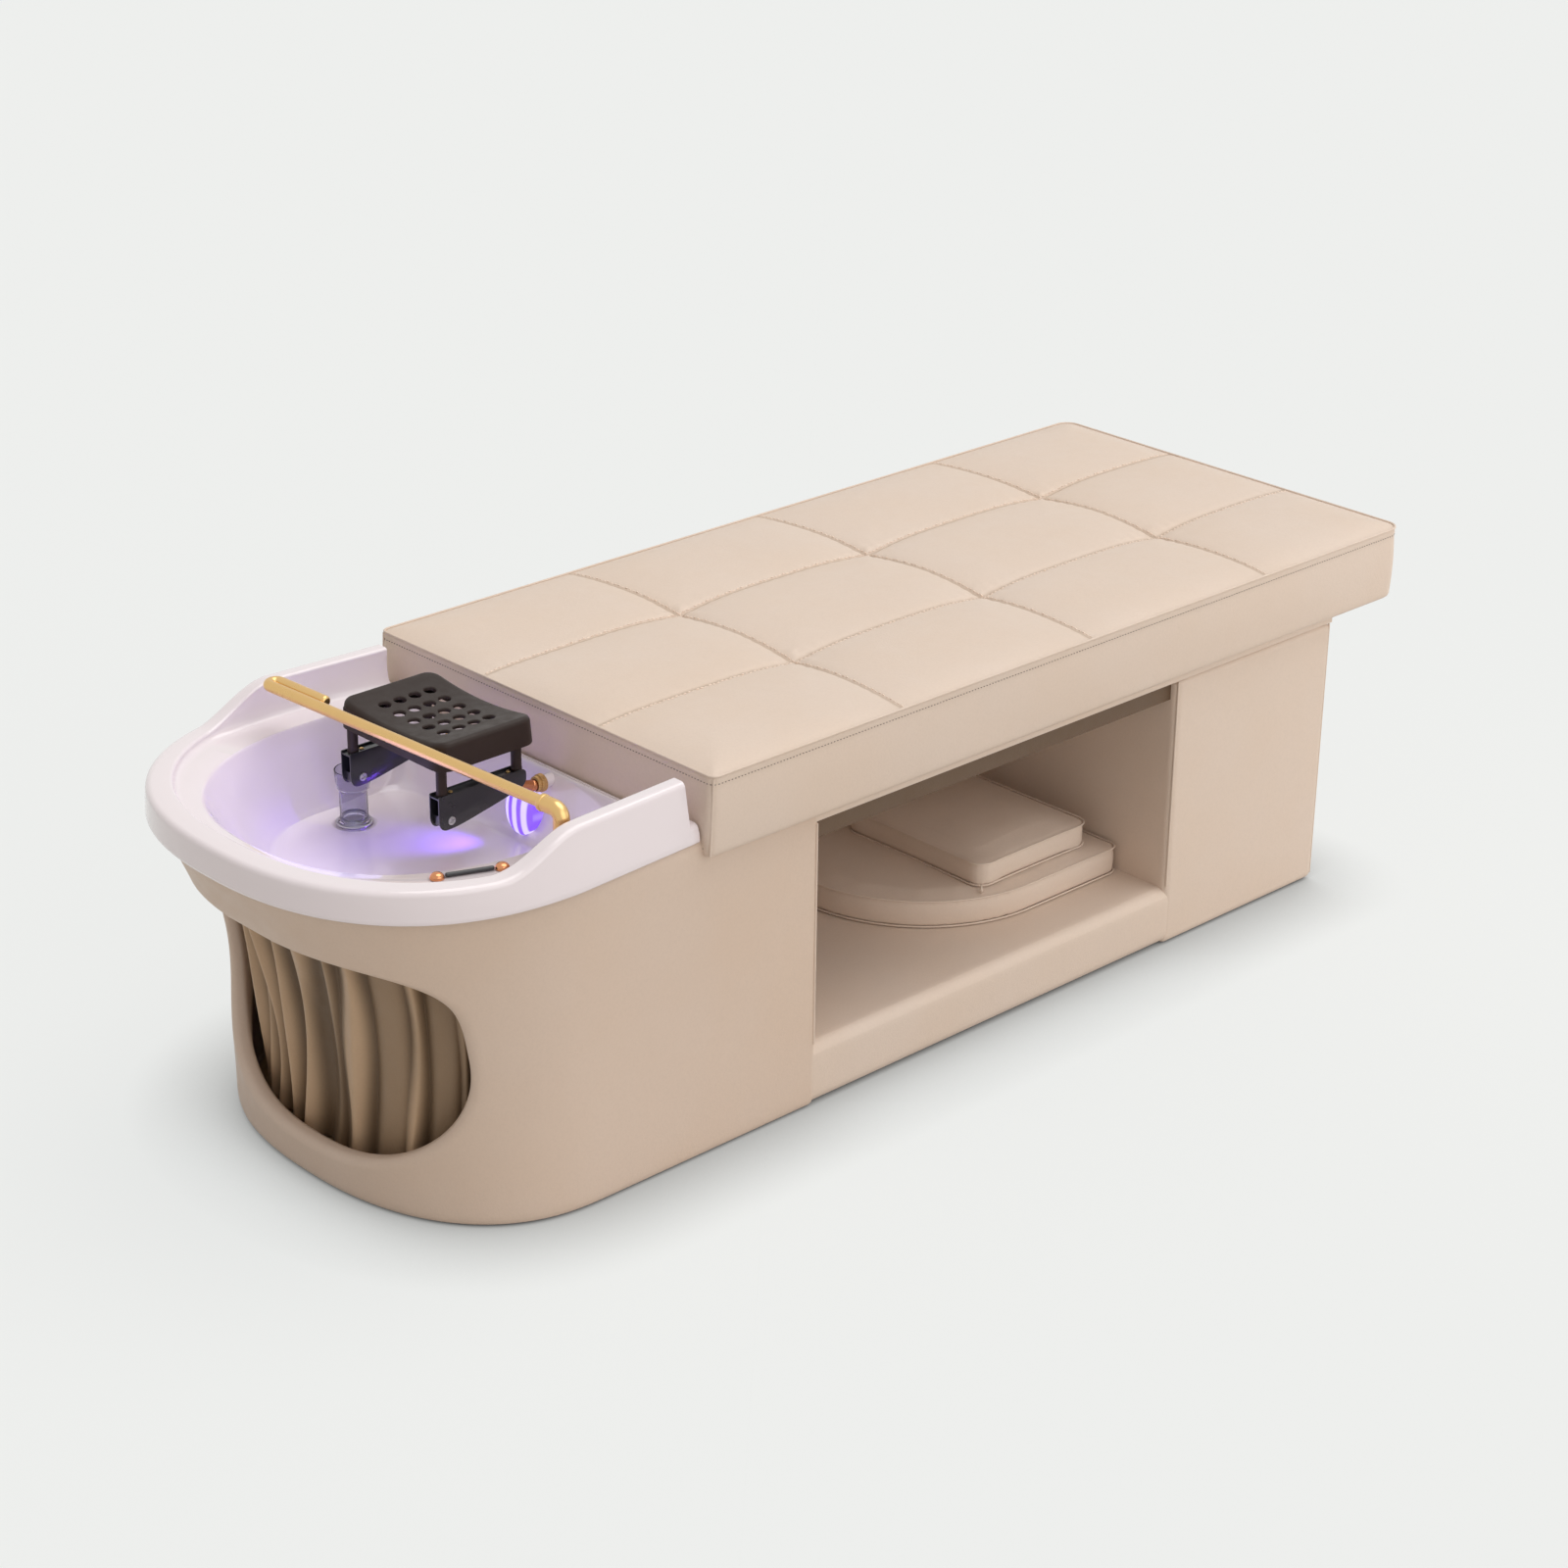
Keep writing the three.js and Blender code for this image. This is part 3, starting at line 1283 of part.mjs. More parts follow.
function lightModule() {
  const ring = (share, x) => Array.from({ length: 24 }, (_, i) => {
    const a = 2 * Math.PI * i / 24;
    return [x, lampY + share * lampHalf * Math.cos(a), lampLevel + share * lampRise * Math.sin(a)];
  });
  const face = -bowlFootFloor + lampRim;
  const back = -basinFoot - 3 * skin / 2;
  return skinned([ring(1, back), ring(1, face), ring(0.92, face - lampDome * 0.4), ring(0.7,
      face - lampDome * 0.78),
    ring(0.35, face - lampDome * 0.97)], [back, lampY, lampLevel], [face - lampDome, lampY, lampLevel]);
}

// Pads in the bay

// A pad with a flat underside: its rim bulges and its top is crowned
function padded(loopAt, z0, thick, puff) {
  const centre = loopAt(0).reduce(([sx, sy], [x, y], _, all) => [sx + x / all.length,
      sy + y / all.length], [0, 0]);
  const ring = (inset, z) => loopAt(inset).map(([x, y]) => [x, y, z]);
  const rise = (share) => z0 + thick * share;
  const towards = (share, z) => loopAt(0).map(([x, y]) => [lerp(x, centre[0], share), lerp(y, centre[1],
      share), z]);
  return skinned([
    towards(0.3, z0),
    ring(puff * 1.2, z0),
    ring(puff * 0.4, rise(0.1)),
    ring(0, rise(0.45)),
    ring(puff * 0.4, rise(0.85)),
    ring(puff * 0.9, rise(1)),
    towards(0.14, rise(1) + puff * 0.5),
    towards(0.45, rise(1) + puff * 0.9),
  ], [...centre, z0], [...centre, rise(1) + puff]);
}

function coverPad() {
  const loopAt = (inset) => {
    const loop = [];
    const r = padRadius - inset;
    const steps = 22;
    for (let i = 0; i <= steps; i++) {
      const a = Math.PI / 2 + Math.PI * i / steps;
      loop.push([padX + r * Math.cos(a), padY + r * Math.sin(a)]);
    }
    const end = padX + padStraight - inset;
    for (let i = 1; i <= 4; i++) loop.push([lerp(padX, end, i / 4), padY - r]);
    for (let i = 1; i <= 7; i++) loop.push([end, lerp(padY - r, padY + r, i / 8)]);
    for (let i = 0; i < 4; i++) loop.push([lerp(end, padX, i / 4), padY + r]);
    return loop;
  };
  return padded(loopAt, shelfHeight + touch, padThick, padPuff);
}

function pillow() {
  const loopAt = (inset) => roundedLoop(pillowLength / 2 - inset, pillowWidth / 2 - inset, pillowCorner,
      5, 3)
    .map(([x, y]) => {
      const draw = pillowPuff * 0.5 * ((2 * x / pillowLength) ** 2 + (2 * y / pillowWidth) ** 2 - 1);
      return [pillowX + x * (1 + draw / pillowLength), pillowY + y * (1 + draw / pillowWidth)];
    });
  return padded(loopAt, shelfHeight + padThick + padPuff + 2 * touch, pillowThick, pillowPuff);
}

// Assembly

const bed = new THREE.Group();

function add(name, geometry, material) {
  const mesh = new THREE.Mesh(geometry, material);
  mesh.name = name;
  bed.add(mesh);
  return mesh;
}

add('head_cabinet', headCabinet(), leatherShade);
add('cabinet_floor', cabinetFloor(), plywood);
add('storage_shelf', plinth(cabinetFoot + touch, bayEnd, glideHeight, shelfHeight), leather);
add('bay_back_panel', bayBack(), leatherShade);
add('pedestal', pedestal(), leather);
add('pedestal_floor', pedestalFloor(), plywood);
add('bay_front_rail', bayRail(-baseHalf + railWidth / 2 + edgeRound), leather);
add('bay_rear_rail', bayRail(baseHalf - wall - railWidth / 2 - touch), leather);
add('deck_board', deckBoard(), leather);
glidePlaces.forEach((place, i) => add(`floor_glide_${i + 1}`, glide(place), rubber));
add('mattress_board', mattressBoard(), plywood);
add('mattress', mattress(), leather);
add('basin', basin(), basinWhite);
add('drain_flange', drainFlange(), steel);
add('standpipe', standpipe(), clear);
add('bottle_trap', bottleTrap(), whitePlastic);
add('waste_hose', wasteHose(), greyPlastic);
add('waste_outlet', wasteOutlet(), greyPlastic);
add('headrest_plate', headrestPlate(), moulded);
armPlaces.forEach((y, side) => {
  postPlaces.forEach((x, end) => {
    const place = post().translate(x, y, webLevel + armWeb + touch);
    add(`headrest_post_${sideNames[side]}_${endNames[end]}`, place, moulded);
    add(`channel_screw_${sideNames[side]}_${endNames[end]}`, channelScrew(screwPlaces()[end], y), gold);
  });
  add(`headrest_channel_${sideNames[side]}`, channel(y), blackSteel);
  add(`headrest_strap_${sideNames[side]}`, strap(y), steel);
  add(`pivot_screw_${sideNames[side]}`, pivotScrew(y), steel);
  add(`coned_spigot_${sideNames[side]}`, spigot(y), copper);
  add(`lock_ring_${sideNames[side]}`, lockRing(y), gold);
});
add('water_bar', waterBar(), gold);
add('bar_riser', barRiser(), gold);
add('ledge_stud_head', domedStud(studCentres[0]), copper);
add('ledge_stud_foot', domedStud(studCentres[1]), copper);
add('ledge_rail', ledgeRail(), blackSteel);
add('curtain', curtain(), leatherShade);
add('curtain_track', curtainTrack(), whitePlastic);
add('heater_tank', heaterTank(), whitePlastic);
add('circulation_pump', circulationPump(), greyPlastic);
add('mixing_valve', mixingValve(), steel);
add('supply_hose', supplyHose(), rubber);
add('control_box', controlBox(), greyPlastic);
add('light_module', lightModule(), clear);
add('cover_pad', coverPad(), leather);
add('pillow', pillow(), leather);

bed.position.x = (basinReach - bedLength - piping / 2) / 2;

export default bed;
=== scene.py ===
"""Looks of a hair washing bed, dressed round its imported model.

The file is laid out as an add-on. Shapes are worked out in millimetres in the maker's frame: X is
zero at the head edge of the mattress and grows toward the foot, -Y is the side with the open bay,
and Z is the height over the floor. place() turns them into the row's metres.
"""
import math

import bmesh
import bpy
import numpy as np
from bpy.props import FloatProperty, FloatVectorProperty, PointerProperty
from mathutils import Matrix, Vector


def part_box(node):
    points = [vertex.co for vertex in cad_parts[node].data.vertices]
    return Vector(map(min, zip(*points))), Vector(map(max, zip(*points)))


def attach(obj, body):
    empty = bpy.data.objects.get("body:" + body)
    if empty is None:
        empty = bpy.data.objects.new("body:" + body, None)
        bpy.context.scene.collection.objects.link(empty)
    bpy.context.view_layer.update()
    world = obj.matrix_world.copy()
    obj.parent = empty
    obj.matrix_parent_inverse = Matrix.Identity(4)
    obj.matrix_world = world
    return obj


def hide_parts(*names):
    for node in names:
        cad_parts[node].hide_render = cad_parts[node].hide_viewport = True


bl_info = {
    "name": "Hair Washing Bed",
    "version": (1, 0, 0),
    "blender": (4, 5, 0),
    "location": "View3D > Sidebar > Washing Bed",
    "description": "Upholstery, basin, headrest and fittings of a hair washing bed",
    "category": "Add Mesh",
}

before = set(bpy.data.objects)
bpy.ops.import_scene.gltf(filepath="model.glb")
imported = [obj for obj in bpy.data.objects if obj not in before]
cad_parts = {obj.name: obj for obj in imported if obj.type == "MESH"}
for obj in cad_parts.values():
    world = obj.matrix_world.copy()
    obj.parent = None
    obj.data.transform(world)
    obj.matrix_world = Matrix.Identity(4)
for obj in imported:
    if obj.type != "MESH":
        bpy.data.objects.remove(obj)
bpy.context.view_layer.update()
MM = 0.001
HEAD_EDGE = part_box("deck_board")[0][0] + 9.4 * MM

# Base
BASE_HEIGHT = 456.0
BASE_HALF = 340.0
WALL = 24.0
GLIDE = 6.0
SHELF = 100.0
BAY = (220.0, 991.0)
PEDESTAL_END = 1369.0
HEAD_START = 180.0
HEAD_POWER = 2.35
FLOOR_REACH = 440.0
FLARE_REACH = 112.0
FLARE_HALF = 14.0
FLARE_TOP = 490.0
OPENING = {"half": 282.0, "top": 396.0, "middle": 265.0, "bottom": 61.0}

# Mattress
BED_LENGTH = 1500.0
BED_HALF = 362.0
BED_TOP = 594.1
BED_FOOT = 474.6
CROSS_SEAMS = (360.0, 757.0, 1160.0)
LONG_SEAM = 124.0
SEAM_BOW = 16.0
# From a seam to its row of stitches; length and radius of a stitch on the skirt; how far the skirt
# at the head leans out at its foot.
SEAM_TO_STITCH = 4.5
SMALL_STITCH = (2.6, 0.8)
HEAD_LEAN = -6.0

# Basin
BASIN_REACH = 567.0
BASIN_HALF = 364.0
BASIN_FOOT_HALF = 350.0
BAND = 498.0
RIM = 545.0
WING = 589.0
LEDGE = 532.0
FOOT_LIP = 508.0
NOTCH = 525.0
BOWL_FLOOR = 402.0
SKIN = 8.0
DRAIN = (-190.0, 191.0, 399.0)
# Height of the standpipe's shoulder over the floor; middle of the light's lens along Y and Z.
PIPE_FOOT = 403.3
LENS = (-20.0, 446.0)
# The bowl's reach, half width, foot wall and corner radius: at its mouth and at its floor.
BOWL = ((507.0, 385.0), (275.0, 226.0), (19.5, 62.0), (12.0, 46.0))
# Its wall: how far in and how far down, as shares of the way from the mouth to the floor.
BOWL_WALL = ((0, 0), (0.05, 0.03), (0.12, 0.12), (0.3, 0.36), (0.55, 0.68), (0.8, 0.9), (1, 1))

# Headrest
ARMS = (-48.0, 152.0)
REST_Y = 52.0
REST_X = -143.0
REST_HALF_X = 84.0
REST_HALF_Y = 116.0
REST_EDGE = 611.0
REST_FOOT = 569.0
REST_DIP = 12.0
SOCKET_Z = 496.0
CHANNEL = (-229.0, -75.0, 480.0, 532.0)
POSTS = (-215.5, -84.0)

# Water bar
BAR_NEAR = np.array([-224.0, -272.0, 597.0])
BAR_FAR = np.array([-260.0, 300.0, 601.0])
BAR_RADIUS = 8.5
RISER_RADIUS = 11.5
RISER_Y = -310.0


def place(points):
    """Row metres of points in maker's millimetres."""
    out = np.array(points, float) * MM
    out[..., 0] += HEAD_EDGE
    return out


def unit(v):
    """Vectors along the last axis brought to length one, unless they have none."""
    return v / np.maximum(np.linalg.norm(v, axis=-1, keepdims=True), 1e-9)


def round_steps(count):
    """Angles of even steps round a circle, the last short of the first."""
    return np.linspace(0, 2 * np.pi, count, endpoint=False)


def smooth(t):
    """3t^2 - 2t^3 between 0 and 1."""
    t = np.clip(t, 0, 1)
    return t * t * (3 - 2 * t)


def waves(x, y, seed, scale):
    """Sum of six sines in seeded directions: a soft, repeatable unevenness between -1 and 1."""
    pick = np.random.default_rng(seed)
    total = 0
    for turn, phase, stretch in zip(pick.uniform(0, np.pi, 6), pick.uniform(0, 6.28, 6),
                                    pick.uniform(0.6, 1.7, 6)):
        total = total + np.sin((x * np.cos(turn) + y * np.sin(turn)) * stretch / scale + phase)
    return total / 6


def grid(points, across=False, along=False, start=None, end=None):
    """Quads over a grid of points (rows, columns, 3). across joins the last column to the first,
    along the last row to the first; start and end are points that close the first and last row."""
    rows, cols = points.shape[:2]
    i = np.arange(rows if along else rows - 1)[:, None]
    j = np.arange(cols if across else cols - 1)[None, :]
    a, b = i * cols + j, i * cols + (j + 1) % cols
    c, d = ((i + 1) % rows) * cols + (j + 1) % cols, ((i + 1) % rows) * cols + j
    faces = np.stack(np.broadcast_arrays(a, b, c, d), -1).reshape(-1, 4).tolist()
    verts = points.reshape(-1, 3)
    ring = np.arange(cols if across else cols - 1)
    for pole, row in ((start, 0), (end, rows - 1)):
        if pole is None:
            continue
        tip = np.full(len(ring), len(verts))
        u, v = row * cols + ring, row * cols + (ring + 1) % cols
        faces += (np.stack([tip, v, u], -1) if row == 0 else np.stack([u, v, tip], -1)).tolist()
        verts = np.vstack([verts, [pole]])
    return verts, faces


def flipped(faces):
    return [f[::-1] for f in faces]


def joined(patches):
    """Patches as one: their points stacked and their faces counted on."""
    faces, base = [], 0
    for verts, some in patches:
        faces += [[v + base for v in f] for f in some]
        base += len(verts)
    return np.vstack([verts for verts, _ in patches]), faces


def volume(verts, faces):
    """Signed volume over fans of the faces: positive where they point outward."""
    total = 0.0
    for size in sorted({len(f) for f in faces}):
        pick = np.array([f for f in faces if len(f) == size])
        for k in range(1, size - 1):
            a, b, c = verts[pick[:, 0]], verts[pick[:, k]], verts[pick[:, k + 1]]
            total += np.einsum("ij,ij->i", a, np.cross(b, c)).sum()
    return total


def piece(name, patches, material, body="bed", replaces=(), crease=40, merge=False, facing=True,
          marks=None):
    """One object from patches in maker's millimetres. With facing, patches are turned outward by the
    sign of their volume. marks are named values, one for each vertex."""
    verts, faces = joined([(some, flipped(quads) if facing and volume(some, quads) < 0 else quads)
                           for some, quads in patches])
    mesh = bpy.data.meshes.new(name)
    mesh.from_pydata(place(verts).tolist(), [], faces)
    for mark, values in (marks or {}).items():
        layer = mesh.attributes.new(mark, "FLOAT", "POINT")
        layer.data.foreach_set("value", np.asarray(values, np.float32))
    mesh.polygons.foreach_set("use_smooth", [True] * len(mesh.polygons))
    if crease:
        mesh.set_sharp_from_angle(angle=math.radians(crease))
    mesh.update()
    obj = bpy.data.objects.new(name, mesh)
    bpy.context.scene.collection.objects.link(obj)
    mesh.materials.append(bpy.data.materials["bed " + material])
    if merge:
        weld(obj)
    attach(obj, body)
    if replaces:
        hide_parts(*replaces)
    return obj


def weld(obj, distance=0.00002):
    """Doubles within the distance become one vertex."""
    soft = bmesh.new()
    soft.from_mesh(obj.data)
    bmesh.ops.remove_doubles(soft, verts=soft.verts, dist=distance)
    soft.to_mesh(obj.data)
    soft.free()


def raised(flat, z):
    """Plan points with their height: one number, or one for each point."""
    return np.column_stack([flat, np.broadcast_to(z, len(flat))])


def quarter(count):
    """1 - sin and 1 - cos over a quarter turn: how far a rounded edge is still in, and how far down."""
    a = np.linspace(0, np.pi / 2, count)
    return list(zip(1 - np.sin(a), 1 - np.cos(a)))


def curve(a, b, c, steps):
    """A quadratic curve from a to c that leans toward b."""
    t = np.linspace(0, 1, steps + 1)[:, None]
    a, b, c = map(np.array, (a, b, c))
    return (1 - t) ** 2 * a + 2 * t * (1 - t) * b + t * t * c


def ring_of(path, sides, radius, normal=None):
    """Tube points round a path: at each point a circle square to the mean direction. radius is one
    number or one for each point."""
    path = np.asarray(path, float)
    run = unit(np.gradient(path, axis=0))
    guide = np.array(normal if normal is not None else (0.0, 0.0, 1.0))
    side = np.cross(run, guide)
    weak = np.linalg.norm(side, axis=1) < 1e-3
    side[weak] = np.cross(run[weak], (0.0, 1.0, 0.0))
    side = unit(side)
    above = np.cross(side, run)
    a = round_steps(sides)
    r = np.broadcast_to(np.asarray(radius, float), (len(path),))[:, None, None]
    return path[:, None] + r * (np.cos(a)[:, None] * side[:, None] + np.sin(a)[:, None] * above[:, None])


def tube(path, radius, sides, normal=None, round_ends=0.0):
    """A closed tube along a path, its ends rounded in by round_ends of its radius."""
    path = np.asarray(path, float)
    radius = np.broadcast_to(np.asarray(radius, float), (len(path),)).copy()
    if round_ends:
        a = np.linspace(np.pi / 2, 0, 6)[:-1]
        for _ in ("start", "end"):
            r = radius[0] * round_ends
            out = path[0] - path[1]
            out = out / np.linalg.norm(out)
            inner = path[0] - out * r
            path = np.vstack([inner + out * r * np.sin(a)[:, None], inner, path[1:]])[::-1]
            radius = np.concatenate([radius[0] - r + r * np.cos(a), radius])[::-1]
    rings = ring_of(path, sides, radius, normal)
    return grid(rings, across=True, start=path[0], end=path[-1])


def turned(profile, centre, sides, axis):
    """A profile of (radius, height) pairs turned about an axis through centre."""
    r, h = np.array(profile, float).T
    a = round_steps(sides)
    c, s = r[:, None] * np.cos(a), r[:, None] * np.sin(a)
    up = np.broadcast_to(h[:, None], c.shape)
    order = {"z": (c, s, up), "x": (up, c, s), "y": (s, up, c)}[axis]
    rings = np.stack(order, -1) + np.array(centre, float)
    pole = np.eye(3)["xyz".index(axis)]
    return grid(rings, across=True, start=pole * h[0] + centre, end=pole * h[-1] + centre)


def fitting(profile, soften, centre, sides, axis="z"):
    """A turned piece with its profile's corners softened."""
    return turned(rounded(profile, soften), centre, sides, axis)


def rounded(profile, radius, steps=4):
    """The corners of an open profile turned into arcs of the given radius, shorter where a side is."""
    p = np.array(profile, float)
    out = [p[0]]
    for before, here, after in zip(p[:-2], p[1:-1], p[2:]):
        u, v = before - here, after - here
        lu, lv = np.linalg.norm(u), np.linalg.norm(v)
        r = min(radius, lu * 0.45, lv * 0.45)
        out += list(curve(here + u / lu * r, here, here + v / lv * r, steps))
    return np.array(out + [p[-1]])


def box_patch(low, high, round_by, steps=3):
    """A box with rounded edges: stacked rounded rectangles."""
    (x0, y0, z0), (x1, y1, z1) = low, high
    ends = round_by * np.array(quarter(steps + 1))
    insets = np.concatenate([ends[:, 0], ends[:, 1]])
    levels = np.concatenate([z0 + ends[:, 1], z1 - ends[:, 0]])
    rings = [raised(rectangle(x0, x1, y0, y1, round_by, inset), z) for inset, z in zip(insets, levels)]
    middle = ((x0 + x1) / 2, (y0 + y1) / 2)
    return grid(np.array(rings), across=True, start=(*middle, z0), end=(*middle, z1))


def rectangle(x0, x1, y0, y1, radius, inset, corner=6, side=6):
    """A rounded rectangle's points: corner arcs joined by straight runs."""
    hx, hy = (x1 - x0) / 2 - inset, (y1 - y0) / 2 - inset
    r = max(radius - inset, 0.01)
    points = []
    ways = ((1, 1), (-1, 1), (-1, -1), (1, -1))
    for turn, (sx, sy) in enumerate(ways):
        a = np.pi / 2 * (turn + np.linspace(0, 1, corner + 1))
        arc = np.column_stack([sx * (hx - r) + r * np.cos(a), sy * (hy - r) + r * np.sin(a)])
        points.append(arc)
        nx, ny = ways[(turn + 1) % 4]
        b = np.pi / 2 * (turn + 1)
        to = np.array([nx * (hx - r) + r * np.cos(b), ny * (hy - r) + r * np.sin(b)])
        t = np.linspace(0, 1, side + 1)[1:, None]
        points.append((arc[-1] + (to - arc[-1]) * t)[:side])
    return np.vstack(points) + ((x0 + x1) / 2, (y0 + y1) / 2)


def read_at(at, known, rows):
    """Rows of three numbers read off between the known distances."""
    return np.stack([np.interp(at, known, rows[:, k]) for k in range(3)], -1)


def stitches(path, normals, pitch, length=5.4, radius=1.0, lift=0.3):
    """Thread lying along a path as short spindles, each of five rings of four points."""
    path = np.asarray(path, float)
    steps = np.linalg.norm(np.diff(path, axis=0), axis=1)
    at = np.concatenate([[0], np.cumsum(steps)])
    centre_at = np.arange(pitch / 2, at[-1], pitch)
    centre = read_at(centre_at, at, path)
    run = unit(read_at(centre_at + 0.5, at, path) - read_at(centre_at - 0.5, at, path))
    up = read_at(centre_at, at, np.broadcast_to(normals, path.shape))
    up = unit(up - run * np.einsum("ij,ij->i", up, run)[:, None])
    side = np.cross(run, up)
    along = np.array([-0.5, -0.36, 0, 0.36, 0.5])[:, None, None] * length
    thick = np.array([0.25, 0.85, 1, 0.85, 0.25])[:, None, None] * radius
    a = np.array([0.25, 0.75, 1.25, 1.75])[:, None] * np.pi
    run, up, side = run[:, None, None], up[:, None, None], side[:, None, None]
    rings = (centre[:, None, None] + run * along + up * (lift + thick * np.sin(a)) + side * thick * np.cos(a))
    caps = [[3, 2, 1, 0], [16, 17, 18, 19]]
    return joined([(verts, faces + caps) for verts, faces in (grid(ring, across=True) for ring in rings)])


# Materials


class Finish:
    """One node material: the Principled shader with uniform values on its sockets, and helpers that
    put patterns on its colour, roughness and height."""

    def __init__(self, name, colour, rough, **sockets):
        self.material = bpy.data.materials.new("bed " + name)
        self.material.use_nodes = True
        self.tree = self.material.node_tree
        self.shader = self.tree.nodes["Principled BSDF"]
        self.colour = tuple(colour) + (1.0,)
        self.shader.inputs["Base Color"].default_value = self.colour
        self.shader.inputs["Roughness"].default_value = rough
        for key, value in sockets.items():
            self.shader.inputs[key.replace("_", " ")].default_value = value
        self.place = self.node("ShaderNodeTexCoord").outputs["Object"]
        self.height = None
        self.material.diffuse_color = self.colour

    def node(self, kind, **values):
        node = self.tree.nodes.new(kind)
        for key, value in values.items():
            if hasattr(node, key):
                setattr(node, key, value)
            else:
                node.inputs[key.replace("_", " ")].default_value = value
        return node

    def link(self, a, b):
        self.tree.links.new(a, b)

    def noise(self, scale, detail=2.0, stretch=None):
        source = self.place
        if stretch:
            turn = self.node("ShaderNodeMapping", Scale=stretch)
            self.link(source, turn.inputs["Vector"])
            source = turn.outputs["Vector"]
        pattern = self.node("ShaderNodeTexNoise", Scale=scale, Detail=detail)
        self.link(source, pattern.inputs["Vector"])
        return pattern.outputs["Fac"]

    def cells(self, scale):
        pattern = self.node("ShaderNodeTexVoronoi", Scale=scale)
        self.link(self.place, pattern.inputs["Vector"])
        return pattern.outputs["Distance"]

    def attribute(self, name):
        return self.node("ShaderNodeAttribute", attribute_name=name).outputs["Fac"]

    def span(self, value, low, high, to_low=0.0, to_high=1.0):
        spread = self.node("ShaderNodeMapRange", From_Min=low, From_Max=high, To_Min=to_low, To_Max=to_high)
        self.link(value, spread.inputs["Value"])
        return spread.outputs["Result"]

    def blend(self, share, first, second, socket):
        """Feeds a socket with a mix of two colours; first may be a socket too."""
        mix = self.node("ShaderNodeMix", data_type="RGBA")
        if isinstance(first, bpy.types.NodeSocket):
            self.link(first, mix.inputs[6])
        else:
            mix.inputs[6].default_value = first
        mix.inputs[7].default_value = tuple(second) + (1.0,)
        self.link(share, mix.inputs[0])
        self.link(mix.outputs[2], socket)

    def tint(self, value, colour, amount):
        """Mixes the base colour toward a second colour by a value."""
        socket = self.shader.inputs["Base Color"]
        first = socket.links[0].from_socket if socket.is_linked else self.colour
        self.blend(self.span(value, 0, 1, 0, amount), first, colour, socket)

    def rough(self, value, low, high):
        self.link(self.span(value, 0.3, 0.7, low, high), self.shader.inputs["Roughness"])

    def bump(self, value, strength, distance):
        bump = self.node("ShaderNodeBump", Strength=strength, Distance=distance)
        self.link(value, bump.inputs["Height"])
        if self.height is not None:
            self.link(self.height, bump.inputs["Normal"])
        self.height = bump.outputs["Normal"]
        self.link(self.height, self.shader.inputs["Normal"])


def shade(colour, share):
    """A colour times one number, or times one for each channel."""
    return tuple(float(c) for c in np.multiply(tuple(colour), share))


def leather(name, colour, crease=0.55, depth=0.55):
    """Fine pebbled synthetic leather: cells of about 1.2 mm and finer noise for the grain, a slow
    unevenness of tone, and painted shade in creases, where the mesh says crease: the colour darkened
    to a warm share of itself."""
    f = Finish(name, colour, 0.5, Sheen_Weight=0.05, Sheen_Roughness=0.4, Specular_IOR_Level=0.36)
    f.tint(f.span(f.noise(5.0, 3.0), 0.35, 0.7), shade(colour, (0.985, 0.945, 0.89)), 0.5)
    f.tint(f.span(f.noise(260.0, 3.0), 0.4, 0.75), shade(colour, 0.80), 0.16)
    # Painted shade: the crease value darkens the colour toward a warm share of itself.
    f.tint(f.attribute("crease"), shade(shade(colour, crease), (1.0, 0.88, 0.72)), depth)
    f.rough(f.noise(38.0, 4.0), 0.42, 0.56)
    f.bump(f.noise(11.0, 2.0), 0.22, 0.005)
    f.bump(f.noise(300.0, 3.0), 0.30, 0.0008)
    f.bump(f.cells(820.0), 0.38, 0.0003)
    f.bump(f.noise(2300.0, 2.0), 0.15, 0.0002)


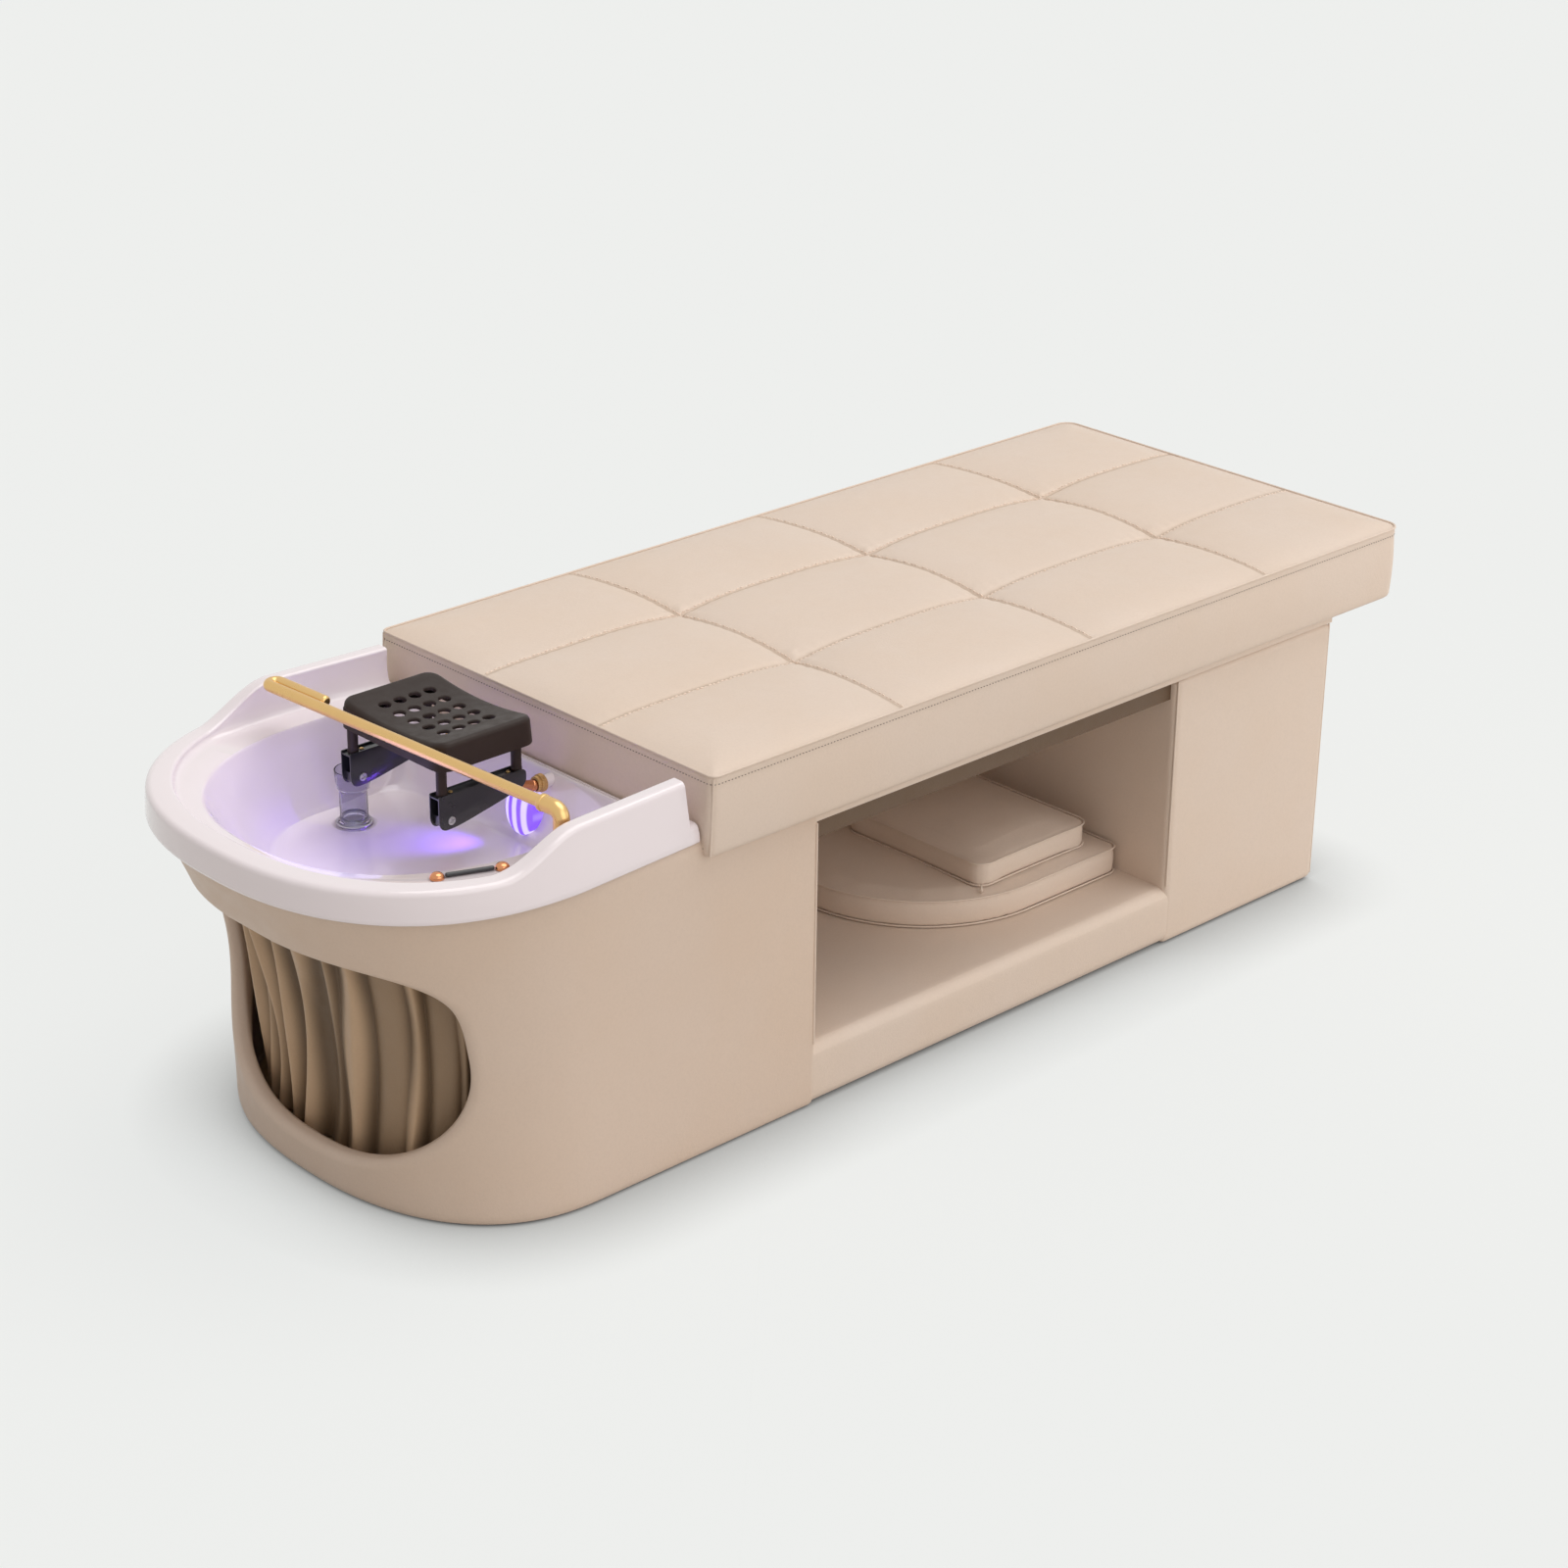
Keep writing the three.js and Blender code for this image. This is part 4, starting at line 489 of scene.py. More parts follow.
def make_finishes(colours):
    """Every material of the bed, from the colours of the panel."""
    base, darker = tuple(colours.leather), tuple(colours.leather_shade)
    leather("leather", base)
    # The head cabinet's copy of the leather, darker: painted shade.
    leather("leather shade", darker)
    # Curtain: the darker leather darkened and warmed again, painted shade of the recess it hangs in; its fold
    # valleys darken to a fifth of it, painted shade too.
    leather("curtain", shade(darker, (0.82, 0.72, 0.57)), 0.20, 0.92)
    leather("piping", shade(base, 0.99))
    # A very dark copy of the leather for the bay's rails: painted shade of the bay's interior.
    leather("painted shade", shade(darker, (0.20, 0.155, 0.11)))
    for name, share in (("thread", 1.32), ("thread shade", 0.30)):
        thread = shade(base, share)
        f = Finish(name, tuple(min(1, c) for c in thread), 0.7)
        f.bump(f.noise(2500.0, 1.0, (1, 1, 3)), 0.4, 0.0002)
        f.tint(f.noise(400.0), shade(thread, 0.8), 0.4)
    f = Finish("acrylic", tuple(colours.acrylic), 0.13, Coat_Weight=0.6, Coat_Roughness=0.04, IOR=1.49)
    f.rough(f.noise(30.0, 3.0), 0.10, 0.19)
    f.bump(f.noise(7.0, 1.0), 0.05, 0.006)
    f.tint(f.noise(3.0, 2.0), (0.84, 0.82, 0.90), 0.25)
    f = Finish("moulded dark", tuple(colours.moulded), 0.46, Specular_IOR_Level=0.2)
    f.rough(f.noise(60.0, 3.0), 0.36, 0.5)
    f.bump(f.noise(900.0, 2.0), 0.22, 0.0003)
    f.tint(f.noise(9.0, 2.0), (0.036, 0.024, 0.021), 0.5)
    f = Finish("black steel", (0.016, 0.016, 0.02), 0.28, Metallic=0.25, Coat_Weight=0.5, Coat_Roughness=0.15)
    f.bump(f.noise(1400.0, 2.0), 0.05, 0.0001)
    f.rough(f.noise(40.0, 2.0), 0.27, 0.32)
    metals = (("steel", (0.56, 0.56, 0.58), 0.3, 0.42), ("gold", tuple(colours.gold), 0.24, 0.34),
              ("copper", tuple(colours.copper), 0.12, 0.28))
    for name, colour, low, high in metals:
        f = Finish(name, colour, 0.2, Metallic=1.0)
        f.rough(f.noise(24.0, 2.0), low, high)
        f.tint(f.noise(35.0, 3.0), shade(colour, 0.78), 0.4)
        f.bump(f.noise(700.0, 1.0, (1, 1, 0.2)), 0.02, 0.0001)
    f = Finish("gold rubbed", shade(colours.gold, 0.9), 0.35, Metallic=0.85)
    f.bump(f.noise(700.0, 3.0), 0.4, 0.0004)
    f.tint(f.noise(160.0, 2.0), (0.30, 0.17, 0.08), 0.5)
    f = Finish("clear", (0.66, 0.65, 0.76), 0.04, Transmission_Weight=1.0, IOR=1.46)
    f.rough(f.noise(50.0, 2.0), 0.03, 0.07)
    f = Finish("lamp lens", (0.30, 0.20, 0.75), 0.2, Emission_Strength=colours.glow_strength)
    stripes = f.node("ShaderNodeTexWave", Scale=17.0, Distortion=0.35, Detail=0.5, bands_direction="Y")
    f.link(f.place, stripes.inputs["Vector"])
    f.blend(f.span(stripes.outputs["Fac"], 0.35, 0.75), (0.80, 0.72, 1.0, 1.0), colours.glow,
            f.shader.inputs["Emission Color"])
    f = Finish("plywood", (0.62, 0.46, 0.28), 0.6)
    f.tint(f.noise(60.0, 4.0, (0.12, 1.5, 1.5)), (0.40, 0.26, 0.13), 0.7)
    f.bump(f.noise(220.0, 3.0, (0.1, 1.2, 1.2)), 0.2, 0.0005)
    plain = (("grey plastic", (0.28, 0.29, 0.30), 0.45), ("white plastic", (0.80, 0.80, 0.79), 0.3),
             ("rubber", (0.022, 0.022, 0.023), 0.75))
    for name, colour, rough in plain:
        f = Finish(name, colour, rough)
        f.rough(f.noise(70.0, 3.0), rough - 0.07, rough + 0.07)
        f.bump(f.noise(1100.0, 2.0), 0.18, 0.0003)
        f.tint(f.noise(12.0), shade(colour, 0.85), 0.5)


# Plan curves


def half_round(a, reach, half):
    """Half a superellipse at the angles a, with its tip at x = -reach."""
    arc = 2 / HEAD_POWER
    return -reach * np.abs(np.sin(a)) ** arc, -half * np.sign(np.cos(a)) * np.abs(np.cos(a)) ** arc


def plan_loop(reach, half, foot_half, start, foot, corner, side_end, head=None, side=16, edge=30, bend=5):
    """A closed plan: half a superellipse about x = -start for the head, at 121 angles or those given,
    then straight sides, rounded corners and a foot edge. Returns x, y and the zone of each point: 0
    head, 1 side, 2 corner, 3 foot."""
    hx, hy = half_round(np.linspace(0, np.pi, 121) if head is None else head, reach - start, half)
    hx = hx - start
    t = np.linspace(0, 1, side + 1)[1:]
    sx = -start + (side_end + start) * t
    sy = half + (foot_half - half) * (sx + start) / (foot + start)
    c = np.linspace(0, np.pi / 2, bend)
    cx = np.append(side_end + 2.5, foot - corner + corner * np.sin(c))
    cy = np.append(foot_half + (half - foot_half) * (foot - side_end) / (foot + start),
                   foot_half - corner + corner * np.cos(c))
    f = np.linspace(0, 1, edge + 1)[1:-1]
    fy = (foot_half - corner) * (1 - 2 * f)
    x = np.concatenate([hx, sx, cx, np.full(len(f), foot), cx[::-1], sx[::-1]])
    y = np.concatenate([hy, sy, cy, fy, -cy[::-1], -sy[::-1]])
    zone = np.concatenate([np.zeros(len(hx)), np.ones(len(sx)), np.full(len(cx), 2), np.full(len(f), 3),
                           np.full(len(cx), 2), np.ones(len(sx))])
    return x, y, zone


def flare(z):
    return np.minimum(1, z / FLARE_TOP) ** 2.5


# Base


def head_skin(y, z):
    """A place on the flared head wall at a given y and z, and the way out of it there. The wall is
    the superellipse of its level: |cos a| = (|y| / half)^(p/2)."""
    def at(yy, zz):
        reach = FLOOR_REACH + FLARE_REACH * flare(zz)
        half = BASE_HALF + FLARE_HALF * flare(zz)
        c = np.clip(np.abs(yy) / half, 0, 1) ** (HEAD_POWER / 2)
        return np.stack([-HEAD_START - (reach - HEAD_START) * (1 - c * c) ** (1 / HEAD_POWER), yy, zz], -1)
    here = at(y, z)
    out = unit(np.cross(at(y + 0.5, z) - at(y - 0.5, z), at(y, z + 0.5) - at(y, z - 0.5)))
    return here, np.where(out[..., :1] > 0, -out, out)


def opening_line(grow, count=160):
    """The curtain opening seen along X: a squarish arch, power 4.5, over a rounder bowl, power 2.5."""
    a = 2 * np.pi * (np.arange(count) + 0.5) / count
    c, s = np.cos(a), np.sin(a)
    rise = np.where(s > 0, OPENING["top"] - OPENING["middle"], OPENING["middle"] - OPENING["bottom"]) + grow
    power = np.where(s > 0, 4.5, 2.5)
    y = (OPENING["half"] + grow) * np.sign(c) * np.abs(c) ** (2 / power)
    return y, OPENING["middle"] + rise * np.sign(s) * np.abs(s) ** (2 / power)


def cabinet_patches():
    """The padded skin of the head cabinet: rows of plan loops up the flare with a window left out,
    and rings that run from the window's frame to the rolled edge of the opening."""
    frame_y, z_low, z_high, n = 311.0, 34.0, 446.0, 40
    low, left = 5, 8
    a0 = np.arccos((frame_y / (BASE_HALF + 4)) ** (HEAD_POWER / 2))
    arc_at = np.concatenate([np.linspace(0, a0, left + 1), np.linspace(a0, np.pi - a0, n + 1)[1:],
                             np.linspace(np.pi - a0, np.pi, left + 1)[1:]])
    levels = np.concatenate([[2.0, 4.0, 7.5, 13.0, 20.0], np.linspace(z_low, z_high, n + 1),
                             [456, 466, 476, 484, 490, 493.5, 496, 497.7, 497.7, 490, 470]])
    insets = np.concatenate([[8, 4.5, 2, 0.6, 0], np.zeros(n + 1),
                             [0, 0, 0.1, 0.5, 1.4, 2.6, 4.5, 7.0, 14.0, 22.0, 23.0]])
    rows = []
    for z, inset in zip(levels, insets):
        reach = FLOOR_REACH + FLARE_REACH * flare(z) - inset
        half = BASE_HALF + FLARE_HALF * flare(z) - inset
        x, y, _ = plan_loop(reach, half, BASE_HALF - inset, HEAD_START, BAY[0] - inset * 0.3, 5.0,
                            BAY[0] - 10, head=arc_at, side=20, edge=12)
        rows.append(np.column_stack([x, y, np.full(len(x), z)]))
    rows = np.array(rows)
    verts, faces = grid(rows, across=True, start=(-100, 0, 2.0))
    cols = rows.shape[1]

    def in_window(face):
        row, col = [v // cols for v in face], [v % cols for v in face]
        return (len(face) == 4 and low <= min(row) and max(row) <= low + n and left <= min(col)
                and max(col) <= left + n and max(col) - min(col) == 1)
    faces = [f for f in faces if not in_window(f)]
    # frame points in the order of the opening's points, which start at +Y and turn by way of the top
    j, right, high = np.arange(n), left + n, low + n
    frame_index = np.concatenate([
        (low + n // 2 + j[:n // 2]) * cols + right, high * cols + right - j, (high - j) * cols + left,
        low * cols + left + j, (low + j[:n // 2]) * cols + right])
    target = verts[frame_index]
    r = 13.0
    y, z = opening_line(r)
    rings = [target]
    for w in np.linspace(1, 0, 13)[1:] ** 1.15:
        here, _ = head_skin(y + (target[:, 1] - y) * w, z + (target[:, 2] - z) * w)
        rings.append(here)
    roll = [(r * side, r * deep) for side, deep in quarter(8)[1:]]
    for grow, depth in roll + [(0.0, 20.0), (2.0, 25.0), (30.0, 27.0)]:
        here, out = head_skin(*opening_line(grow))
        rings.append(here - out * depth)
    return [(verts, faces), grid(np.array(rings), across=True)]


def edge_cord(path, radius, sides=10, closed=False):
    """Piping: a thin cord of leather along an edge."""
    if closed:
        path = path[:-1] if np.allclose(path[0], path[-1]) else path
        rings = ring_of(np.vstack([path[-1:], path, path[:1]]), sides, radius)[1:-1]
        return grid(rings, across=True, along=True)
    return tube(path, radius, sides, round_ends=0.9)


def upright_cord(x, y, low, count, radius):
    """Piping up a corner of the base."""
    z = np.linspace(low, BASE_HEIGHT - 2, count)
    return edge_cord(np.column_stack([np.full(count, x), np.full(count, y), z]), radius)


def soft_block(low, high, r, seed, wrinkle, cell=14.0):
    """A padded block: a box whose points are drawn onto a rounded box of radius r and pushed out by
    a slow unevenness that dies away at the edges of each face."""
    low, high = np.array(low, float), np.array(high, float)
    size = high - low
    counts = np.maximum(2, np.round(size / cell).astype(int))
    near = np.linspace(0, 1, 5) * r * 1.6
    ticks = [np.unique(np.concatenate([np.linspace(0, s, n + 1), near, s - near]))
             for s, n in zip(size, counts)]
    patches = []
    for axis in range(3):
        u, v = [k for k in range(3) if k != axis]
        gu, gv = np.meshgrid(ticks[u], ticks[v], indexing="ij")
        for end in (0, 1):
            p = np.zeros(gu.shape + (3,))
            p[..., u], p[..., v], p[..., axis] = gu, gv, end * size[axis]
            core = np.clip(p, r, size - r)
            way = unit(p - core)
            swell = np.sin(np.pi * gu / size[u]) * np.sin(np.pi * gv / size[v])
            push = wrinkle * waves(gu, gv, seed + axis * 2 + end, 60.0) * np.minimum(1, 3 * swell)
            verts, faces = grid(low + core + way * (r + push[..., None]))
            n = np.cross(p[1, 0] - p[0, 0], p[0, 1] - p[0, 0])
            patches.append((verts, flipped(faces) if n[axis] * (1 if end else -1) > 0 else faces))
    return joined(patches)


# Mattress


def seam_x(k, y):
    """Cross seam k bows toward the foot in the middle."""
    return CROSS_SEAMS[k] + SEAM_BOW * (1 - (y / BED_HALF) ** 2)


def quilt(x, y, swell, tuft):
    """Height of the quilted top over its piped edge: each panel is a soft dome, each seam a wide
    valley with a sharp crease in it, deepest where two seams cross, and small puckers run out from
    the seams."""
    edge = np.minimum(np.minimum(x, BED_LENGTH - x), BED_HALF - np.abs(y))
    cross = np.stack([x - seam_x(k, y) for k in range(3)])
    cross = cross[np.abs(cross).argmin(0), np.arange(x.shape[0])[:, None], np.arange(x.shape[1])[None, :]]
    long = np.abs(y) - LONG_SEAM

    def valley(d, along):
        held = 0.50 + 0.62 * np.exp(-(np.abs(along) / 62.0) ** 1.4)
        wide = 0.70 * np.exp(-(np.abs(d) / (40.0 + 16.0 * held)) ** 1.6)
        return held * (wide + 0.42 * np.exp(-(np.abs(d) / 7.0) ** 1.3))
    a, b = valley(cross, long), valley(long, cross)
    depth = np.maximum(a, b) + 0.22 * np.minimum(a, b)
    near_edge = 1 - np.exp(-np.maximum(0, edge) / 26.0)
    rise = swell * (1 - np.exp(-np.maximum(0, edge) / 34.0))
    pucker = 0.8 * np.exp(-(cross / 20.0) ** 2) * np.sin(y / 3.4 + 2.6 * waves(x, y, 5, 60.0))
    pucker += 0.8 * np.exp(-(long / 20.0) ** 2) * np.sin(x / 3.6 + 2.6 * waves(x, y, 9, 70.0))
    near = np.minimum(np.abs(cross), np.abs(long))
    pucker *= np.clip(near / 6.0, 0.15, 1)
    slow = 1.5 * waves(x, y, 3, 90.0) * np.clip(edge / 60, 0, 1)
    # Nearness to a seam's crease: the leather paints shade there.
    crease = np.maximum(np.exp(-(cross / 3.0) ** 2), np.exp(-(long / 3.0) ** 2))
    return rise - tuft * depth * near_edge + pucker * near_edge + slow, crease


def in_corner(x, y, out):
    """Points of the rectangular plan moved out along its edges, with the corners rounded."""
    foot = x > BED_LENGTH / 2
    radius = np.where(foot, 24.0, 10.0)
    cx = np.where(foot, BED_LENGTH - radius, radius)
    dx = np.where(foot, np.maximum(0, x - cx), np.minimum(0, x - cx))
    dy = np.sign(y) * np.maximum(0, np.abs(y) - (BED_HALF - radius))
    reach = np.hypot(dx, dy)
    square = np.maximum(np.abs(dx), np.abs(dy))
    grow = (square + out * (square / radius)) / np.maximum(reach, 1e-9) - 1
    return np.where(reach > 0, x + dx * grow, x), np.where(reach > 0, y + dy * grow, y)


def mattress_patches(swell, tuft):
    """The top on a grid that closes up near its seams and edges, and skirt rings under its border,
    as one patch. Also the crease values at its points, which paint shade into the seams, and the rings."""
    def ticks(stops, step):
        parts = []
        for a, b in zip(stops[:-1], stops[1:]):
            n = int(round((b - a) / step))
            t = np.linspace(0, 1, n + 1)
            parts.append(a + (b - a) * (t - 0.11 * np.sin(2 * np.pi * t)))
        return np.unique(np.round(np.concatenate(parts), 4))
    xs = ticks([0, *CROSS_SEAMS, BED_LENGTH], 7.0)
    ys = ticks([-BED_HALF, -LONG_SEAM, LONG_SEAM, BED_HALF], 6.5)
    gx, gy = np.meshgrid(xs, ys, indexing="ij")
    stretch = np.interp(gx, [0, CROSS_SEAMS[0], CROSS_SEAMS[2], BED_LENGTH], [0, 1, 1, 0])
    px = gx + SEAM_BOW * (1 - (gy / BED_HALF) ** 2) * stretch
    height, crease = quilt(px, gy, swell, tuft)
    edge = np.minimum(np.minimum(gx, BED_LENGTH - gx), BED_HALF - np.abs(gy))
    height = np.where(edge <= 0, 0, height)
    cx, cy = in_corner(px, gy, 0.0)
    top = np.stack([cx, cy, BED_TOP + height], -1)
    n, m = gx.shape
    index = np.arange(n * m).reshape(n, m)
    border = np.concatenate([index[:-1, 0], index[-1, :-1], index[:0:-1, -1], index[0, :0:-1]])
    bx, by = px.ravel()[border], gy.ravel()[border]
    deep = BED_TOP - BED_FOOT
    downs = np.concatenate([[2.0, 4.5, 7.5], np.linspace(11, deep - 8, 13), [deep - 4, deep - 1.4, deep]])
    run = np.cumsum(np.hypot(np.diff(bx, prepend=bx[0]), np.diff(by, prepend=by[0])))
    rings = [top.reshape(-1, 3)[border]]
    for down in downs:
        share = down / deep
        out = 3.4 * np.sin(np.pi * min(1, share)) ** 0.8 + (1.2 if down < 8 else 0)
        out = out - max(0, down - deep + 5) * 1.1
        out = out + 1.3 * np.sin(np.pi * share) * waves(run, 60 * share * np.ones_like(run), 21, 62.0)
        x, y = in_corner(bx, by, out)
        lean = np.where(bx <= 12, HEAD_LEAN * share, 0)
        rings.append(np.column_stack([x + lean, y, np.full(len(x), BED_TOP - down)]))
    x, y = in_corner(bx, by, -24.0)
    rings.append(np.column_stack([x, y, np.full(len(x), BED_FOOT + 0.5)]))
    skirt = grid(np.array(rings), across=True, end=(BED_LENGTH / 2, 0, BED_FOOT + 0.5))
    verts, faces = grid(top)
    if np.cross(verts[1] - verts[0], verts[m] - verts[0])[2] > 0:
        faces = flipped(faces)
    marks = np.concatenate([crease.ravel(), np.zeros(len(skirt[0]))])
    return joined([(verts, faces), skirt]), marks, rings


# Basin


def rim_height(x, zone):
    """The rim rises from the head band to the wings between x -350 and -222, and ends low at the foot."""
    z = RIM + (WING - RIM) * smooth((x + 350) / 128)
    return np.select([zone == 2, zone == 3], [NOTCH, FOOT_LIP], z)


def ledge_height(x, zone):
    return np.where(zone >= 2, FOOT_LIP, LEDGE)


def basin_loop(head, side, foot, height, drop=0.0):
    """A loop of the basin set in from its outer wall at the head, the sides and the foot. It leans
    in by 3.4% of its width over the height of the wings."""
    x, y, zone = plan_loop(BASIN_REACH - head, BASIN_HALF - side, BASIN_FOOT_HALF - side, 230 - side / 2,
                           -10 - foot, 4.0, -30.0)
    z = (height(x, zone) if callable(height) else np.full(len(x), float(height)))
    y = y * (1 - 0.034 * (z - BAND) / (WING - BAND))
    return np.column_stack([x, y, z - drop])


def bowl_loop(share_in, share_down, out=0.0):
    """A loop of the bowl between its mouth at the ledge and its floor."""
    reach, half, foot, corner = (mouth + (floor - mouth) * share_in for mouth, floor in BOWL)
    reach, half, foot = reach + out, half + out, out - foot
    x, y, zone = plan_loop(reach, half, half, 200.0, foot, corner, foot - 2 * corner)
    z = ledge_height(x, zone)
    z = z + (BOWL_FLOOR - z) * share_down - out
    return np.column_stack([x, y + 20.0 * share_in, z])


def bowl_curve(count=30):
    """Way in and way down of the bowl wall: a smooth curve through the named shares."""
    t = np.linspace(0, 6, count)
    k = np.clip(t.astype(int), 0, 5)
    s = t - k

    def spline(p):
        q = np.concatenate([[2 * p[0] - p[1]], p, [2 * p[-1] - p[-2]]])
        a, b, c, d = q[k], q[k + 1], q[k + 2], q[k + 3]
        bent, turned_back = 2 * a - 5 * b + 4 * c - d, 3 * b - a - 3 * c + d
        return np.clip(0.5 * (2 * b + (c - a) * s + bent * s ** 2 + turned_back * s ** 3), 0, 1)
    return [spline(np.array(shares)) for shares in zip(*BOWL_WALL)]


def drain_ring(radius, height):
    """A round loop about the drain with one point on the way to each point of the floor's loop."""
    way = bowl_loop(1, 1)[:, :2] - DRAIN[:2]
    run = np.hypot(way[:, 0], way[:, 1])[:, None]
    return raised(DRAIN[:2] + radius * way / run, height)


def basin_patch():
    """Loops from the drain over the floor, up the bowl to the ledge, over the rolled rim, down the
    band and back under the bowl."""
    loops = [drain_ring(r, h) for r, h in ((21, 396.5), (26, 397), (28.5, 397.6), (31, 399.2), (34, 399.6))]
    floor, seat = bowl_loop(1, 1), loops[-1]
    for w in np.linspace(0, 1, 12)[1:]:
        loops.append(seat + (floor - seat) * w)
        loops[-1][:, 2] = 399.6 + 2.4 * smooth(w)
    inward, down = bowl_curve()
    for a, b in list(zip(inward, down))[-2::-1]:
        loops.append(bowl_loop(a, b))
    for bend, lift in quarter(9):
        def height(x, zone):
            low = ledge_height(x, zone)
            return low + (rim_height(x, zone) - 5 - low) * lift
        loops.append(basin_loop(39 + 6 * bend, 27 + 16 * bend, 7 + bend, height))
    for side, deep in quarter(6)[1:]:
        s, c = 5 * deep, 5 * side
        loops.append(basin_loop(39 - s, 27 - s, 7 - min(1.5, s / 2), rim_height, c))
    for side, deep in quarter(8):
        loops.append(basin_loop(9 * side, 9 * side, 2.2 * side, rim_height, 9 * deep))
    for w in (0.3, 0.6, 0.9):
        def height(x, zone):
            return (rim_height(x, zone) - 9) * (1 - w) + (BAND + 4) * w
        loops.append(basin_loop(0, 0, 0, height))
    for side, foot, height in ((0, 0, BAND + 3), (1, 0.3, BAND + 1), (3, 1, BAND), (8, 2, BAND),
                               (9, 2.3, lambda x, zone: np.where(zone < 2, LEDGE - SKIN, BAND))):
        loops.append(basin_loop(side, side, foot, height))
    for a, b in BOWL_WALL:
        loops.append(bowl_loop(a, b, SKIN))
    loops.append(drain_ring(28, 391))
    return grid(np.array(loops), across=True, start=(*DRAIN[:2], 396.4), end=(*DRAIN[:2], 391))


# Curtain


# Each fold: its share of the width at the top and at the hem, its half width and its height.
FOLDS = ((0.02, 0.10, 0.030, 0.55), (0.145, 0.25, 0.034, 0.85), (0.325, 0.43, 0.046, 1.0),
         (0.41, 0.495, 0.020, 0.5), (0.475, 0.56, 0.028, 0.95), (0.545, 0.63, 0.026, 0.9),
         (0.605, 0.70, 0.024, 1.0), (0.675, 0.765, 0.026, 0.8), (0.75, 0.83, 0.026, 1.0),
         (0.83, 0.90, 0.026, 0.8), (0.92, 0.965, 0.030, 0.9), (1.0, 1.03, 0.030, 0.9))
# The cloth's upper edge, the drop its folds are measured over, and how far it hangs in from the wall.
CLOTH_TOP, CLOTH_DROP, CLOTH_IN = 436.0, 402.0, 44.0


def cloth_line(z, share, depth):
    """The middle line of the hung cloth at a height: the head plan set in, with ridges
    exp(-|t|^1.7) of uneven widths that lean and swell as they fall, and deep valleys between."""
    reach = FLOOR_REACH + FLARE_REACH * flare(z) - CLOTH_IN - HEAD_START
    half = BASE_HALF + FLARE_HALF * flare(z) - CLOTH_IN
    x, y = half_round(np.pi * (0.18 + 0.64 * share), reach, half)
    out = np.hypot(x / reach, y / half)
    nx, ny = x / reach / out, y / half / out
    fall = (CLOTH_TOP - z) / CLOTH_DROP
    lean = 0.004 * np.sin(2.2 * fall * np.pi + 9 * share)
    ridge = np.zeros_like(share * z)
    for k, (top, hem, wide, high) in enumerate(FOLDS):
        centre = top + (hem - top) * fall + lean
        width = 0.84 * wide * (1.0 + 0.16 * np.sin(2.6 * fall * np.pi + 1.7 * k))
        t = (share - centre) / width
        t = np.where(t < 0, t * 1.3, t * 0.85)
        tall = high * (0.84 + 0.16 * np.sin(1.9 * fall * np.pi + 2.1 * k))
        ridge = np.maximum(ridge, tall * np.exp(-np.abs(t) ** 1.7))
    flat = 0.42 * np.exp(-((share - 0.07 - 0.09 * fall) / 0.055) ** 4)
    flat += 0.45 * np.exp(-((share - 0.225 - 0.10 * fall) / 0.06) ** 4)
    high = np.maximum(ridge, flat)
    move = depth * (2.0 * high - 1.5) + 1.4 * waves(share * 900, z, 31, 70.0)
    return np.stack([-HEAD_START + x + nx * move, y + ny * move, z], -1), 1 - high


def curtain_grid(depth):
    """The cloth's points, and how deep each lies in a valley: the painted shade of its folds."""
    zz, ss = np.meshgrid(np.linspace(CLOTH_TOP, 26.0, 64), np.linspace(0, 1.08, 450), indexing="ij")
    points, painted_fold_shade = cloth_line(zz, ss, depth)
    points[..., 2] += 1.2 * np.sin(ss * 60) * ((CLOTH_TOP - zz) / CLOTH_DROP) ** 3
    return points, smooth((painted_fold_shade - 0.2) / 0.65).ravel()


# Padded pieces


def pad_patch(outline, low, high, puff, draw, rows=9):
    """A cushion from a plan outline: boxing rows on its side and rings that close over its faces,
    each face a dome of puff (1 - r^2)^0.7."""
    centre = outline.mean(axis=0)
    shares = np.concatenate([np.linspace(0.06, 0.9, 14), [0.94, 0.97, 0.99]])
    domes = puff * (1 - shares ** 2) ** 0.7
    under = [raised(centre + (outline - centre) * s, low - dome * 0.2) for s, dome in zip(shares, domes)]
    over = [raised(centre + (outline - centre) * s, high + dome) for s, dome in zip(shares, domes)]
    side = [raised(centre + (outline - centre) * (1 + draw * np.sin(np.pi * t)), low + (high - low) * t)
            for t in np.linspace(0, 1, rows)]
    rings = under + side + over[::-1]
    return grid(np.array(rings), across=True, start=rings[0].mean(axis=0), end=rings[-1].mean(axis=0))


def points_of(mesh):
    """Points of a mesh in the scene's metres."""
    flat = np.empty(len(mesh.vertices) * 3, np.float32)
    mesh.vertices.foreach_get("co", flat)
    return flat.reshape(-1, 3).astype(float)


def calmed(move, edges, kept, rounds=14):
    """Moves evened out between neighbours, with the kept points held still."""
    one, two = edges.T
    near = np.bincount(edges.ravel(), minlength=len(move))[:, None]
    for _ in range(rounds):
        total = np.zeros_like(move)
        np.add.at(total, one, move[two])
        np.add.at(total, two, move[one])
        move = 0.4 * move + 0.6 * total / near
        move[kept] = 0
    return move


# How the covers of the pads give way to the air.
CLOTH = {"quality": 6, "mass": 0.3, "tension_stiffness": 12, "compression_stiffness": 12,
         "bending_stiffness": 3.0, "shrink_min": -0.012, "use_pressure": True, "uniform_pressure_force": 4.0,
         "vertex_group_mass": "seams", "pin_stiffness": 1.0}


